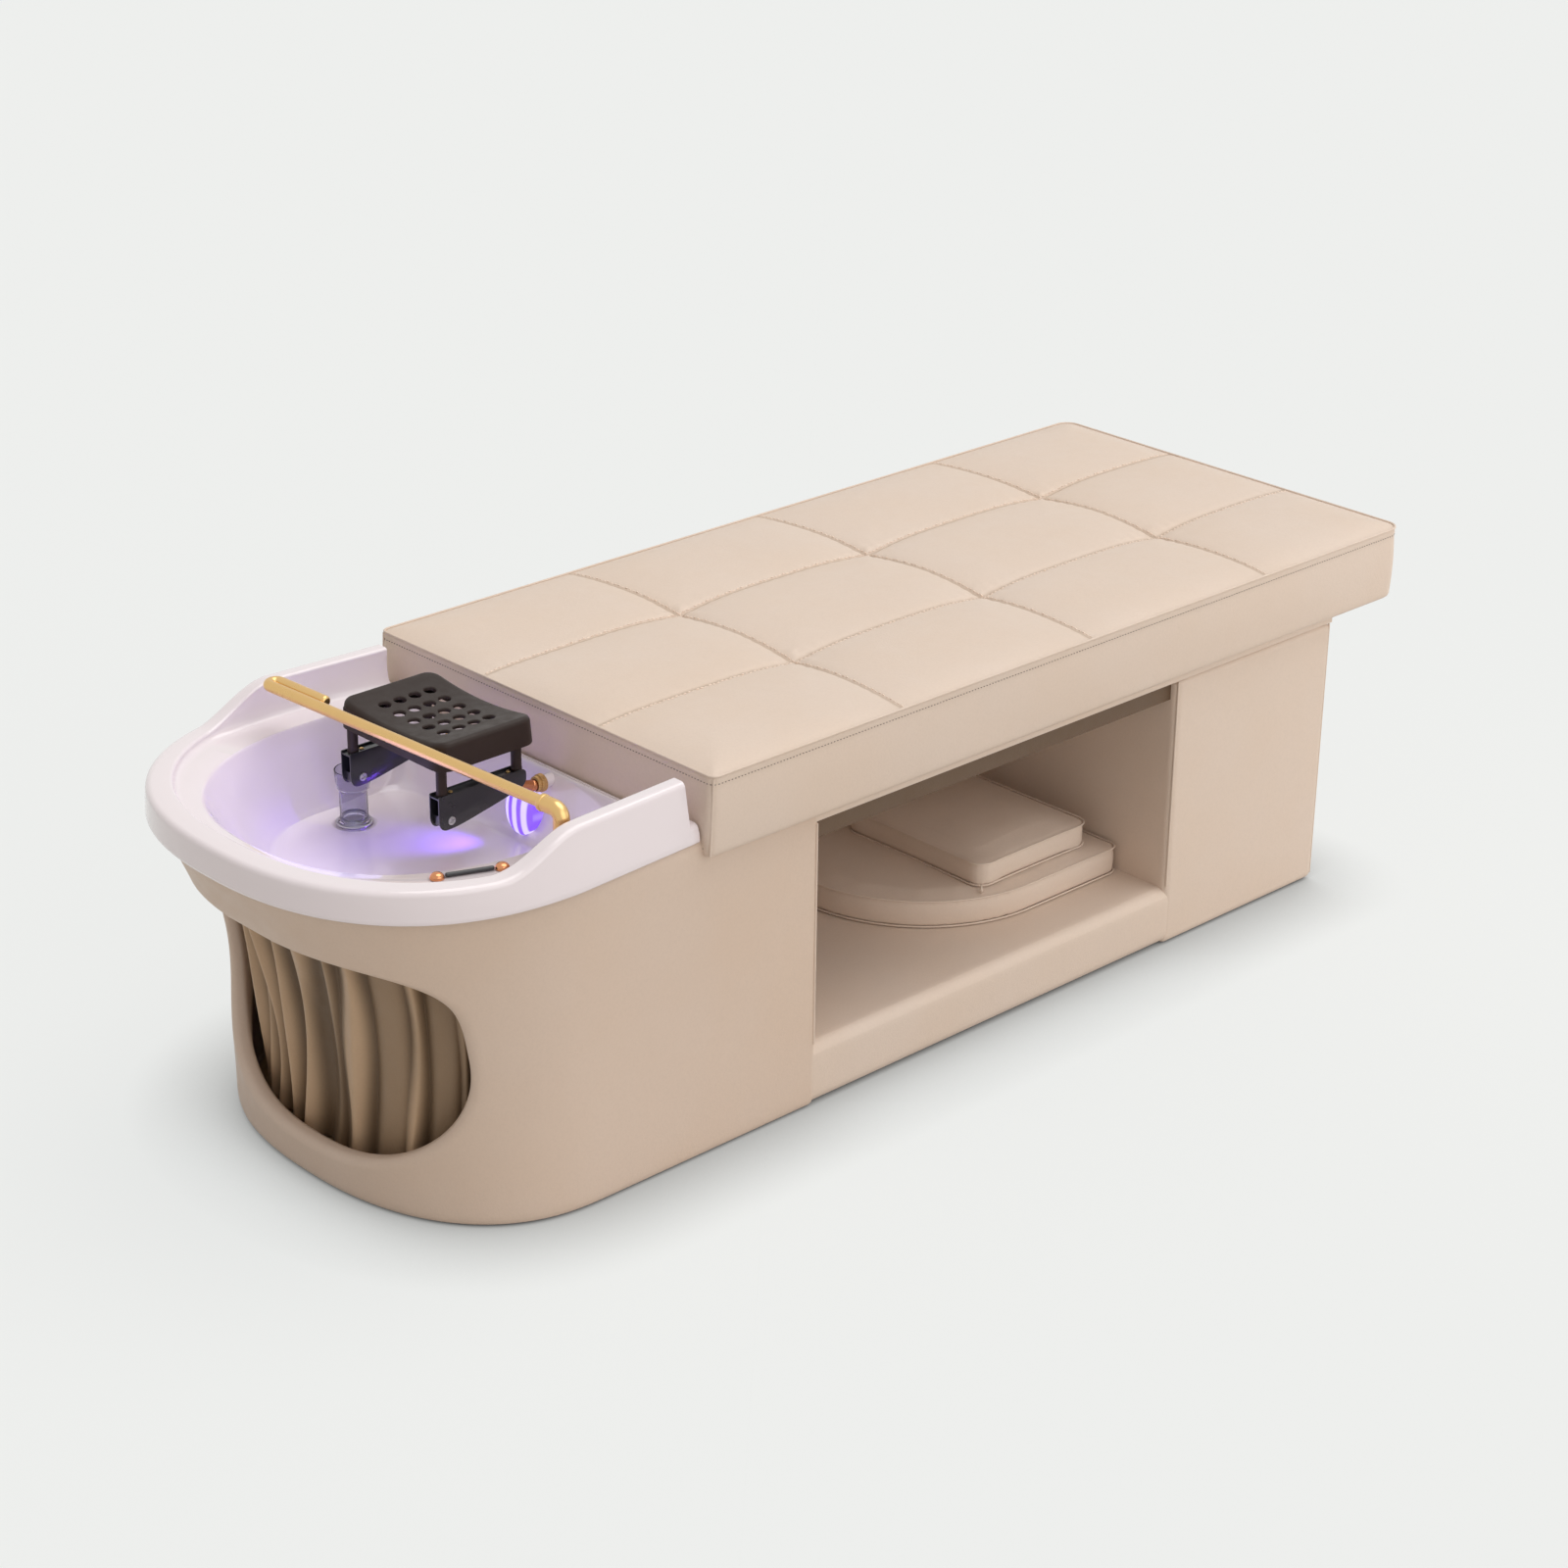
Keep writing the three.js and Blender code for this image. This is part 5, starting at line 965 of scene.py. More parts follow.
def inflate(name, patch, hold, cap, voxel=5.0, frames=20):
    """Fills a closed form with air: an even remesh, cloth under pressure with the points that
    hold names kept still, and the move of each point capped."""
    scene = bpy.context.scene
    mesh = bpy.data.meshes.new(name)
    mesh.from_pydata(place(patch[0]).tolist(), [], patch[1])
    obj = bpy.data.objects.new(name, mesh)
    scene.collection.objects.link(obj)
    weld(obj)
    even = obj.modifiers.new("even", "REMESH")
    even.mode, even.voxel_size, even.use_smooth_shade = "VOXEL", voxel * MM, True
    bpy.context.view_layer.update()
    fresh = bpy.data.meshes.new_from_object(obj.evaluated_get(bpy.context.evaluated_depsgraph_get()))
    obj.modifiers.clear()
    obj.data = fresh
    rest = points_of(fresh)
    kept = hold((rest - (HEAD_EDGE, 0, 0)) / MM)
    group = obj.vertex_groups.new(name="seams")
    group.add(np.nonzero(kept)[0].tolist(), 1.0, "REPLACE")
    cloth = obj.modifiers.new("fill", "CLOTH")
    for key, value in CLOTH.items():
        setattr(cloth.settings, key, value)
    cloth.settings.effector_weights.gravity = 0
    cloth.point_cache.frame_start, cloth.point_cache.frame_end = 1, frames
    for number in range(1, frames + 1):
        scene.frame_set(number)
    done = bpy.data.meshes.new_from_object(obj.evaluated_get(bpy.context.evaluated_depsgraph_get()))
    pairs = np.empty(len(fresh.edges) * 2, np.int32)
    fresh.edges.foreach_get("vertices", pairs)
    move = calmed(points_of(done) - rest, pairs.reshape(-1, 2), kept)
    far = np.linalg.norm(move, axis=1, keepdims=True)
    move *= np.minimum(1, cap * MM / np.maximum(far, 1e-9))
    faces = [list(p.vertices) for p in done.polygons]
    scene.frame_set(1)
    bpy.data.objects.remove(obj)
    return (rest + move - (HEAD_EDGE, 0, 0)) / MM, faces


def pad_outline(inset=0.0):
    """The D-shaped cover pad: a half circle toward the head and straight sides."""
    r, x0, end, k = 245.0 - inset, 774.0, 986.0 - inset, 18.0
    a = np.linspace(np.pi / 2, 1.5 * np.pi, 90)
    corner = np.linspace(-np.pi / 2, 0, 6)
    low = np.column_stack([end - k + k * np.cos(corner), -r + k + k * np.sin(corner)])
    high = low[::-1] * (1, -1)
    side = np.linspace(0, 1, 24)[1:-1, None]
    first = np.column_stack([x0 + r * np.cos(a), r * np.sin(a)])
    down = first[-1] + (low[0] - first[-1]) * side
    across = low[-1] + (high[0] - low[-1]) * np.linspace(0, 1, 50)[1:-1, None]
    back = high[-1] + (first[0] - high[-1]) * side
    return np.vstack([first, down, low, across, high, back])


def pillow_outline(inset=0.0):
    """The square pillow: a rounded rectangle whose sides pull in between its corners."""
    loop = rectangle(-125, 125, -150, 150, 26.0, inset, corner=8, side=26)
    draw = 4.0 * ((2 * loop[:, :1] / 250) ** 2 + (2 * loop[:, 1:] / 300) ** 2 - 1)
    return loop * (1 + draw / 275) + (818.0, -66.0)


# Headrest


def rest_top(y):
    """The saddle: deepest at the middle of its width."""
    return REST_EDGE - REST_DIP * (1 - ((y - REST_Y) / REST_HALF_Y) ** 2)


def upward(patch, count):
    """A stack of rings of count points, turned so that its first face looks up."""
    verts, faces = patch
    look = np.cross(verts[1] - verts[0], verts[count] - verts[0])
    return verts, faces if look[2] > 0 else flipped(faces)


def on_top(flat, down=0.0):
    """Plan points laid on the saddle, or below it."""
    return raised(flat, rest_top(flat[:, 1]) - down)


def plate_patches():
    """The moulded plate: twenty cells, each a ring patch from its square border to a rounded hole,
    then loops that run from the holes' field over the rolled edge and down the draft of the skirt."""
    rows, cols, py, px, r, lip, edge = 5, 4, 33.0, 26.5, 8.9, 2.2, 9.0
    n = 6
    field_x, field_y = cols * px / 2, rows * py / 2
    t, half = np.linspace(-0.5, 0.5, n + 1)[:-1], np.full(n, 0.5)
    square = np.vstack([np.column_stack(side) for side in ((half, t), (-t, half), (-half, -t), (t, -half))])
    a = np.arctan2(square[:, 1], square[:, 0])
    circle = np.column_stack([np.cos(a), np.sin(a)])
    patches = []
    for i in range(cols):
        for j in range(rows):
            centre = np.array([REST_X + (i - (cols - 1) / 2) * px, REST_Y + (j - (rows - 1) / 2) * py])
            rings = [on_top(centre + square * (px, py) * (1 - w) + circle * (r + lip) * w)
                     for w in (0.0, 0.45, 0.8)]
            rings += [on_top(centre + circle * (r + lip * side), lip * deep) for side, deep in quarter(5)]
            wall = on_top(centre + circle * (r - 0.3), 5.0)
            rings += [wall, raised(centre + circle * (r + 2), wall[:, 2] - 0.2)]
            patches.append(upward(grid(np.array(rings), across=True), len(square)))
    # border of the field, in step with the cells
    gx = REST_X + np.linspace(-field_x, field_x, cols * n + 1)
    gy = REST_Y + np.linspace(-field_y, field_y, rows * n + 1)
    sides = ((np.full(rows * n, gx[-1]), gy[:-1]), (gx[:0:-1], np.full(cols * n, gy[-1])),
             (np.full(rows * n, gx[0]), gy[:0:-1]), (gx[:-1], np.full(cols * n, gy[0])))
    border = np.vstack([np.column_stack(side) for side in sides])
    way = border - (REST_X, REST_Y)

    def outline(inset):
        """The plate's rounded rectangle in the direction of each border point, by bisection on the
        distance to it."""
        hx, hy, k = REST_HALF_X - inset, REST_HALF_Y - inset, 22.0 - min(inset, 14)
        low, high = np.zeros(len(way)), np.full(len(way), 3.0)
        for _ in range(30):
            mid = (low + high) / 2
            p = np.abs(way * mid[:, None]) - (hx - k, hy - k)
            d = np.hypot(*np.maximum(p, 0).T) + np.minimum(p.max(axis=1), 0) - k
            low, high = np.where(d < 0, mid, low), np.where(d < 0, high, mid)
        return way * low[:, None] + (REST_X, REST_Y)
    rim = outline(edge)
    rings = [on_top(border + (rim - border) * w) for w in (0.0, 0.35, 0.7, 1.0)]
    rings += [on_top(outline(edge * side), edge * deep) for side, deep in quarter(8)[1:]]
    for w in (0.25, 0.5, 0.75, 0.95, 1.0):
        flat = outline(-2.5 * w)
        top = rest_top(flat[:, 1]) - edge
        rings.append(raised(flat, top + (REST_FOOT - top) * w))
    for inset, z in ((-1.5, REST_FOOT - 0.6), (2.0, REST_FOOT), (5.0, REST_FOOT + 4), (10.0, 592.0),
                     (15.0, 594.0), (40.0, 594.0)):
        rings.append(raised(outline(inset), z))
    patches.append(upward(grid(np.array(rings), across=True), len(border)))
    socket = [(0.1, REST_FOOT - 3), (10, REST_FOOT - 3), (11.5, REST_FOOT + 6), (11.5, 598), (0.1, 598)]
    return patches + [fitting(socket, 1.2, (x, y, 0), 28) for y in ARMS for x in POSTS]


def channel_outline(inset):
    """Side outline of a channel in X and Z, with its lower edge rising toward the foot end."""
    foot, r, length, height = 25.0, 9.0, 154.0, 52.0
    knee, heel = (67, foot * 0.3), (length - r, foot)
    bends = (((0, 19.5), (0, 0), (13.5, 0), 8), ((13.5, 0), (33, 0), knee, 8),
             (knee, (120.5, foot * 0.72), heel, 8),
             (heel, (length, foot + r / 2), (length, foot + r * 1.5), 5))
    shoulder = curve((length, height - r), (length, height), (length - r, height), 5)
    p = np.vstack([[(0.0, height - 1.5), (0.0, 19.5)], *(curve(*bend)[1:] for bend in bends), shoulder,
                   [(1.5, height)]])
    run = unit(np.roll(p, -1, axis=0) - np.roll(p, 1, axis=0))
    return p + np.column_stack([-run[:, 1], run[:, 0]]) * inset


def upright(outlines, levels):
    """A plate of a channel between flat ends: an outline in X and Z at each level along Y."""
    rings = np.array([np.column_stack([CHANNEL[0] + p[:, 0], np.full(len(p), y), CHANNEL[2] + p[:, 1]])
                      for p, y in zip(outlines, levels)])
    verts, faces = grid(rings, across=True)
    count = rings.shape[1]
    last = (len(rings) - 1) * count
    return verts, faces + [list(range(count - 1, -1, -1)), [last + k for k in range(count)]]


def cheek(y, thick):
    """One side sheet of a channel, with its edges eased by 0.5."""
    insets = (0.5, 0.12, 0, 0, 0.12, 0.5)
    levels = y + np.array([0, 0.12, 0.5, thick - 0.5, thick - 0.12, thick])
    return upright([channel_outline(inset) for inset in insets], levels)


def screw_head(centre, r, thick, way):
    """A pan head on the Y axis, its top toward way times Y. The cross recess lowers the points of
    the head's rings that lie in two bars."""
    radii = np.linspace(0.02, 1, 15)[:, None]
    a = round_steps(64)
    x, z = r * radii * np.cos(a), r * radii * np.sin(a)
    u, v = np.abs(x * 0.87 + z * 0.5), np.abs(z * 0.87 - x * 0.5)
    thin, far = 0.17 * r, 0.66 * r
    bars = np.minimum(np.maximum(u / thin, v / far), np.maximum(v / thin, u / far))
    dome = thick * (1 - 0.35 * radii ** 2.5) - thick * 0.7 * smooth((1.15 - bars) / 0.3)
    rings = np.stack([x, way * dome, z], -1)[::-1]
    skirt = np.stack([r * np.cos(a), np.zeros(64), r * np.sin(a)], -1)[None]
    rings = np.concatenate([skirt, rings]) + np.array(centre, float)
    return grid(rings, across=True, start=centre, end=rings[-1].mean(axis=0))


# Bar and spigots


def bar_frame():
    along = (BAR_FAR - BAR_NEAR) / np.linalg.norm(BAR_FAR - BAR_NEAR)
    across = np.array([along[1], -along[0], 0.0])
    across /= np.linalg.norm(across)
    return along, across, np.cross(across, along)


def bar_path():
    """Straight from the sleeve to the far end, half a turn toward the foot, and a short leg back."""
    along, across, _ = bar_frame()
    r, seated, hook = 9.4, 16, 118
    start = BAR_NEAR - along * seated
    bend_from = BAR_FAR - along * (r + BAR_RADIUS)
    a = np.linspace(0, np.pi, 25)[:, None]
    bend = bend_from + across * r * (1 - np.cos(a)) + along * r * np.sin(a)
    tip = bend[-1] + along * (r + BAR_RADIUS - hook)
    first = start + (bend_from - start) * np.linspace(0, 1, 30)[:-1, None]
    last = bend[-1] + (tip - bend[-1]) * np.linspace(0, 1, 10)[1:, None]
    return np.vstack([first, bend, last])


def riser_path():
    """The middle of the riser: up, a quarter bend and on to the near end of the bar."""
    along, _, _ = bar_frame()
    corner = BAR_NEAR - along * ((BAR_NEAR[1] - RISER_Y) / along[1])
    up, r = np.array([0, 0, 1.0]), 13
    a = np.linspace(0, np.pi / 2, 14)[:, None]
    bend = corner + along * r - up * r - along * r * np.cos(a) + up * r * np.sin(a)
    base = np.array([bend[0, 0], bend[0, 1], LEDGE + 0.3])
    return np.vstack([base + (bend[0] - base) * np.linspace(0, 1, 5)[:-1, None], bend,
                      bend[-1] + (BAR_NEAR - bend[-1]) * np.linspace(0, 1, 5)[1:, None]])


def knurl(radius, x0, x1, y, bore, teeth=30, depth=0.8):
    """A knurled ring about X: its outside is radius minus depth times a rounded tooth wave."""
    a = round_steps(teeth * 6)
    tooth = 0.5 - 0.5 * np.cos(a * teeth)
    rows = [(x0, bore, 0), (x0, radius - 2.2, 0), (x0 + 0.5, radius - 1.1, 0.4), (x0 + 1.3, radius, 1),
            (x1 - 1.3, radius, 1), (x1 - 0.5, radius - 1.1, 0.4), (x1, radius - 2.2, 0), (x1, bore, 0)]
    rings = []
    for x, r, share in rows:
        out = r - depth * share * tooth
        rings.append(np.column_stack([np.full(len(a), x), y + out * np.cos(a), SOCKET_Z + out * np.sin(a)]))
    return grid(np.array(rings), across=True, along=True)


# Sizes and colours for the panel


class BedSizes(bpy.types.PropertyGroup):
    """Sizes of the upholstery and fittings that a user would change."""

    quilt_swell: FloatProperty(name="Quilt Swell", description="Rise of each mattress panel over its seams",
                               default=0.0128, min=0.0, max=0.02, unit="LENGTH")
    tuft_depth: FloatProperty(name="Tuft Depth", description="Depth of the valleys along the mattress seams",
                              default=0.0140, min=0.0, max=0.02, unit="LENGTH")
    fold_depth: FloatProperty(name="Curtain Fold Depth", description="Half the depth of the curtain's folds",
                              default=0.016, min=0.0, max=0.022, unit="LENGTH")
    piping: FloatProperty(name="Piping Radius", description="Radius of the leather cord on the edges",
                          default=0.0019, min=0.001, max=0.005, unit="LENGTH")
    stitch_pitch: FloatProperty(name="Stitch Pitch", description="Distance from one stitch to the next",
                                default=0.0080, min=0.002, max=0.012, unit="LENGTH")
    pad_puff: FloatProperty(name="Pad Puff", description="Rise of the pads over their piping",
                            default=0.006, min=0.0, max=0.02, unit="LENGTH")


class BedColours(bpy.types.PropertyGroup):
    """Colours of the bed's finishes."""

    leather: FloatVectorProperty(name="Leather", description="Upholstery", subtype="COLOR",
                                 default=(0.75, 0.62, 0.525))
    # A darker copy of the leather: painted shade on the head cabinet, and the curtain's base.
    leather_shade: FloatVectorProperty(name="Leather Shade", description="Head cabinet and curtain",
                                       subtype="COLOR", default=(0.715, 0.573, 0.473))
    acrylic: FloatVectorProperty(name="Acrylic", description="Basin", subtype="COLOR",
                                 default=(0.86, 0.775, 0.80))
    moulded: FloatVectorProperty(name="Moulded Rest", description="Headrest plate and posts", subtype="COLOR",
                                 default=(0.029, 0.018, 0.015))
    gold: FloatVectorProperty(name="Gold", description="Water bar and lock rings", subtype="COLOR",
                              default=(0.80, 0.52, 0.22))
    copper: FloatVectorProperty(name="Copper", description="Spigots and studs", subtype="COLOR",
                                default=(0.72, 0.31, 0.15))
    glow: FloatVectorProperty(name="Glow", description="Stripes of the bowl light", subtype="COLOR",
                              default=(0.16, 0.03, 0.85))
    glow_strength: FloatProperty(name="Glow Strength", description="Strength of the bowl light", default=0.8,
                                 min=0.0, max=40.0)


class BuildPiece:
    """What the operators share."""

    bl_options = {"REGISTER", "UNDO"}

    @property
    def sizes(self):
        return bpy.context.scene.bed_sizes


def dress(names, material):
    """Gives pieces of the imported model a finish."""
    for name in names:
        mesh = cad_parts[name].data
        mesh.materials.clear()
        mesh.materials.append(bpy.data.materials["bed " + material])


class BED_OT_cabinet(BuildPiece, bpy.types.Operator):
    """Head cabinet: flared padded skin with the rolled opening"""

    bl_idname = "bed.cabinet"
    bl_label = "Head Cabinet"

    def execute(self, context):
        shell, window = cabinet_patches()
        # The skin takes the darker leather, which paints the shade the head cabinet lies in.
        skin = piece("cabinet_skin", [shell], "leather shade", replaces=["head_cabinet"], crease=50)
        roll = piece("opening_roll", [window], "leather shade", crease=0, facing=False)
        if roll.data.polygons[3].normal.x > 0:
            roll.data.flip_normals()
        cords = [upright_cord(BAY[0] - 2.5, y, SHELF + 3, 30, self.sizes.piping / MM)
                 for y in (-BASE_HALF, BASE_HALF)]
        piece("cabinet_piping", cords, "piping")
        return {"FINISHED"}


class BED_OT_bay(BuildPiece, bpy.types.Operator):
    """Storage bay: padded shelf, back panel and foot pedestal with their piping"""

    bl_idname = "bed.bay"
    bl_label = "Storage Bay"

    def execute(self, context):
        x0, x1 = BAY
        blocks = (("shelf_pad", "storage_shelf", (x0 - 25, 0.15 - BASE_HALF, 2),
                   (x1 + 25, BASE_HALF - 0.15, SHELF), 20, 4, 0.7),
                  ("back_pad", "bay_back_panel", (x0 - 15, BASE_HALF - WALL, SHELF - 8),
                   (x1 + 15, BASE_HALF - 0.3, BASE_HEIGHT), 5, 8, 0.8),
                  ("pedestal_pad", "pedestal", (x1 + 0.3, -BASE_HALF, 2),
                   (PEDESTAL_END, BASE_HALF, BASE_HEIGHT), 11, 11, 0.9))
        for name, node, low, high, r, seed, wrinkle in blocks:
            block = soft_block(low, high, r, seed, wrinkle)
            pad = piece(name, [block], "leather", replaces=[node], crease=0, facing=False, merge=True)
        r = self.sizes.piping / MM
        cords = []
        for y in (-BASE_HALF, BASE_HALF):
            cords.append(upright_cord(x1 + 3.5, y * 0.994, SHELF + 3, 30, r))
            cords.append(upright_cord(PEDESTAL_END - 3.2, y * 0.9905, GLIDE + 4, 40, r))
        piece("bay_piping", cords, "piping")
        return {"FINISHED"}


class BED_OT_curtain(BuildPiece, bpy.types.Operator):
    """Pleated curtain behind the opening"""

    bl_idname = "bed.curtain"
    bl_label = "Curtain"

    def execute(self, context):
        points, painted_fold_shade = curtain_grid(self.sizes.fold_depth / MM)
        # The fold values paint shade into the valleys of the cloth.
        obj = piece("curtain_cloth", [grid(points)], "curtain", replaces=["curtain"], crease=0, facing=False,
                    marks={"crease": painted_fold_shade})
        thick = obj.modifiers.new("thickness", "SOLIDIFY")
        thick.thickness, thick.offset = 0.0016, 0
        return {"FINISHED"}


class BED_OT_mattress(BuildPiece, bpy.types.Operator):
    """Quilted mattress with piping and stitching"""

    bl_idname = "bed.mattress"
    bl_label = "Mattress"

    def execute(self, context):
        sizes = self.sizes
        swell, tuft, pitch = sizes.quilt_swell / MM, sizes.tuft_depth / MM, sizes.stitch_pitch / MM
        patch, marks, rings = mattress_patches(swell, tuft)
        # The crease values paint shade into the seams of the top.
        obj = piece("mattress_cover", [patch], "leather", replaces=["mattress"], crease=0, facing=False,
                    marks={"crease": marks})
        weld(obj)
        y = np.linspace(-BED_HALF + 3, BED_HALF - 3, 500)
        lines = [(seam_x(k, y) + SEAM_TO_STITCH, y) for k in range(3)]
        x = np.linspace(4, BED_LENGTH - 4, 900)
        reach = LONG_SEAM + SEAM_TO_STITCH
        lines += [(x, np.full(len(x), y0)) for y0 in (-reach, reach)]
        rows = []
        for x, y in lines:
            z = quilt(x[:, None], y[:, None], swell, tuft)[0][:, 0]
            rows.append(stitches(np.column_stack([x, y, BED_TOP + z]), (0, 0, 1), pitch))
        side = rings[4]
        run = np.roll(side, -1, axis=0) - np.roll(side, 1, axis=0)
        out = np.cross(run, (0, 0, 1.0))
        out[np.einsum("ij,ij->i", out, side - (BED_LENGTH / 2, 0, 0)) < 0] *= -1
        out = unit(out)
        piece("mattress_stitching", rows, "thread", crease=0, facing=False)
        piece("edge_stitching", [stitches(side, out, pitch * 0.75, *SMALL_STITCH)], "thread shade", crease=0,
              facing=False)
        top = rings[1] + (0, 0, 2.6)
        keep = np.concatenate([[True], np.linalg.norm(np.diff(top, axis=0), axis=1) > 0.8])
        cords = [edge_cord(top[keep], sizes.piping / MM, closed=True)]

        def head_line(lean, set_off, y, low, high, count):
            z = np.linspace(BED_FOOT + low, BED_TOP - high, count)
            x = lean * (BED_TOP - z) / (BED_TOP - BED_FOOT) + set_off
            return np.column_stack([x, np.full(count, y), z])
        tall = BED_TOP - BED_FOOT
        for way in (-1, 1):
            cords.append(edge_cord(head_line(HEAD_LEAN, 1.5, way * (BED_HALF - 0.5), 3, 2, 24), 1.8))
            cords.append(edge_cord(head_line(-5.2, -0.4, way * (BED_HALF - 59), tall - 52, 6, 12), 1.0))
        piece("mattress_piping", cords, "piping", crease=0)
        rows = [stitches(head_line(HEAD_LEAN, -0.7, way * (BED_HALF - 13), 10, 16, 60), (-1, 0, 0),
                         pitch * 0.75, *SMALL_STITCH) for way in (-1, 1)]
        piece("corner_stitching", rows, "thread shade", crease=0, facing=False)
        return {"FINISHED"}


class BED_OT_pads(BuildPiece, bpy.types.Operator):
    """Cover pad and pillow kept in the bay, filled by a cloth run"""

    bl_idname = "bed.pads"
    bl_label = "Pads"

    def execute(self, context):
        r = self.sizes.piping / MM
        puff = self.sizes.pad_puff / MM
        pads = (("cover_pad", pad_outline, 100.6, 146.5, puff * 0.5, 6.0),
                ("pillow", pillow_outline, 152.6, 192.0, puff * 1.2, 9.0))
        for node, outline, low, high, dome, gap in pads:
            name, body = f"{node}_cover", f"{node}_body"
            edge = outline(2.0)

            def hold(points):
                """The points near the two seams, and those the pad lies on."""
                near = np.full(len(points), 1e9)
                for part in np.array_split(edge, 12):
                    dx, dy = (points[:, None, k] - part[None, :, k] for k in (0, 1))
                    near = np.minimum(near, np.hypot(dx, dy).min(axis=1))
                level = np.minimum(np.abs(points[:, 2] - low - 1), np.abs(points[:, 2] - high + 1))
                return ((near < 5) & (level < 4)) | (points[:, 2] < low + 2.4)
            filled = inflate(name, pad_patch(edge, low + 1.0, high - 1.0, dome, 0.004), hold, gap)
            cover = piece(name, [filled], "leather", body=body, replaces=[node], crease=0)
            fine = cover.modifiers.new("fine", "SUBSURF")
            fine.levels = fine.render_levels = 1
            cords = [edge_cord(raised(outline(0.6), z), r * 0.8, closed=True)
                     for z in (low + 2.5, high - 1.0)]
            piece(f"{node}_piping", cords, "piping", body=body, crease=0)
        pull = [(697, -215, 158), (693.5, -218, 158.5), (691.8, -220, 156), (691.2, -221, 150),
                (691, -221.4, 149)]
        tab = tube(pull, (1.2, 1.8, 2.4, 2.6, 1.6), 14, round_ends=0.8)
        piece("zip_pull", [tab], "piping", body="pillow_body", crease=0)
        return {"FINISHED"}


class BED_OT_basin(BuildPiece, bpy.types.Operator):
    """Basin with its sockets, drain, standpipe and bowl light"""

    bl_idname = "bed.basin"
    bl_label = "Basin"

    def execute(self, context):
        tail = [(0.1, -46), (6.5, -46), (6.5, -36), (10, -36), (10, -14), (0.1, -14)]
        patches = [basin_patch()] + [fitting(tail, 1.0, (0, y, SOCKET_Z), 40, "x") for y in ARMS]
        piece("basin_shell", patches, "acrylic", replaces=["basin"], crease=55)
        dx, dy = DRAIN[:2]
        flange = [(17.7, 376), (19.7, 376), (19.7, 400.5), (27, 400.8), (27.4, 402), (26, 403), (17.7, 402.8)]
        piece("drain_ring", [fitting(flange, 0.7, (dx, dy, 0), 64)], "steel", replaces=["drain_flange"])
        outer = [(17.4, -8), (17.4, 0), (23, 0), (23.4, 2.2), (21.6, 5), (20.4, 8), (20.2, 46), (20.9, 49),
                 (23.6, 52), (25.4, 62), (26.4, 79), (26.5, 80)]
        inner = [(24.6, 80), (23.6, 62), (21.9, 53), (18.5, 48), (18.3, 8), (15.4, 2), (15.4, -8)]
        profile = np.array(outer + inner + outer[:1]) + (0, PIPE_FOOT)
        r, z = rounded(profile, 1.0)[:-1].T[:, :, None]
        a = round_steps(64)
        rings = np.stack([dx + r * np.cos(a), dy + r * np.sin(a), np.broadcast_to(z, (len(z), 64))], -1)
        piece("standpipe_clear", [grid(rings, across=True, along=True)], "clear", body="standpipe_body",
              replaces=["standpipe"], crease=50)
        rows = []
        for share, x in ((0.02, -66.4), (0.35, -66.0), (0.6, -64.6), (0.8, -62.4), (0.93, -60.2),
                         (1.0, -57.4), (1.0, -50), (1.0, -22)):
            rows.append(np.column_stack([np.full(64, x), LENS[0] + 30 * share * np.cos(a),
                                         LENS[1] + 34 * share * np.sin(a)]))
        lens = grid(np.array(rows), across=True, start=(-66.4, *LENS), end=(-22, *LENS))
        piece("bowl_light", [lens], "lamp lens", replaces=["light_module"], crease=50)
        return {"FINISHED"}


class BED_OT_headrest(BuildPiece, bpy.types.Operator):
    """Headrest plate, posts, channels, straps and screws"""

    bl_idname = "bed.headrest"
    bl_label = "Headrest"

    def execute(self, context):
        piece("rest_plate", plate_patches(), "moulded dark", replaces=["headrest_plate"], crease=45,
              facing=False)
        posts, channels, straps, screws, studs = [], [], [], [], []
        post = [(0.1, 529.4), (8.2, 529.4), (8.2, 533), (7.6, 534.5), (7.6, 569.4), (0.1, 569.4)]
        stud = [(0.1, 524), (1.6, 524), (1.6, 529.4), (3.3, 529.4), (3.2, 530.9), (1.7, 531.6), (0.1, 531.7)]
        sheet, half, pivot = 2.2, 11, (-209, 493)
        low = channel_outline(2.6)
        low = low[(low[:, 1] < 36) & (low[:, 0] > 5) & (low[:, 0] < 138)]
        loop = np.vstack([low, low[::-1] + (0, 13.5)])
        for y in ARMS:
            posts += [fitting(post, 0.8, (x, y, 0), 36) for x in POSTS]
            channels += [cheek(y0, sheet) for y0 in (y - half, y + half - sheet)]
            channels.append(box_patch((CHANNEL[0] + 0.6, y - 10, 526.5), (-77.6, y + 10, 529.0), 0.6))
            straps.append(upright([loop, loop], (y - 8.2, y + 8.2)))
            screws += [screw_head((pivot[0], y + way * 11.4, pivot[1]), 6.0, 2.6, way) for way in (-1, 1)]
            pin = [(0.1, y - 11.6), (2.5, y - 11.6), (2.5, y + 11.6), (0.1, y + 11.6)]
            screws.append(turned(pin, (pivot[0], 0, pivot[1]), 20, "y"))
            studs += [fitting(stud, 0.4, (x, y, 0), 24) for x in (POSTS[0] + 15, POSTS[1] - 15)]
        corners = [f"{side}_{end}" for side in ("near", "far") for end in ("head", "foot")]
        piece("rest_posts", posts, "moulded dark", replaces=[f"headrest_post_{one}" for one in corners])
        piece("rest_channels", channels, "black steel",
              replaces=["headrest_channel_near", "headrest_channel_far"], crease=30)
        piece("rest_straps", straps, "black steel",
              replaces=["headrest_strap_near", "headrest_strap_far"], crease=30)
        piece("pivot_screws", screws, "steel", replaces=["pivot_screw_near", "pivot_screw_far"], crease=35)
        piece("channel_screws", studs, "gold", replaces=[f"channel_screw_{one}" for one in corners])
        return {"FINISHED"}


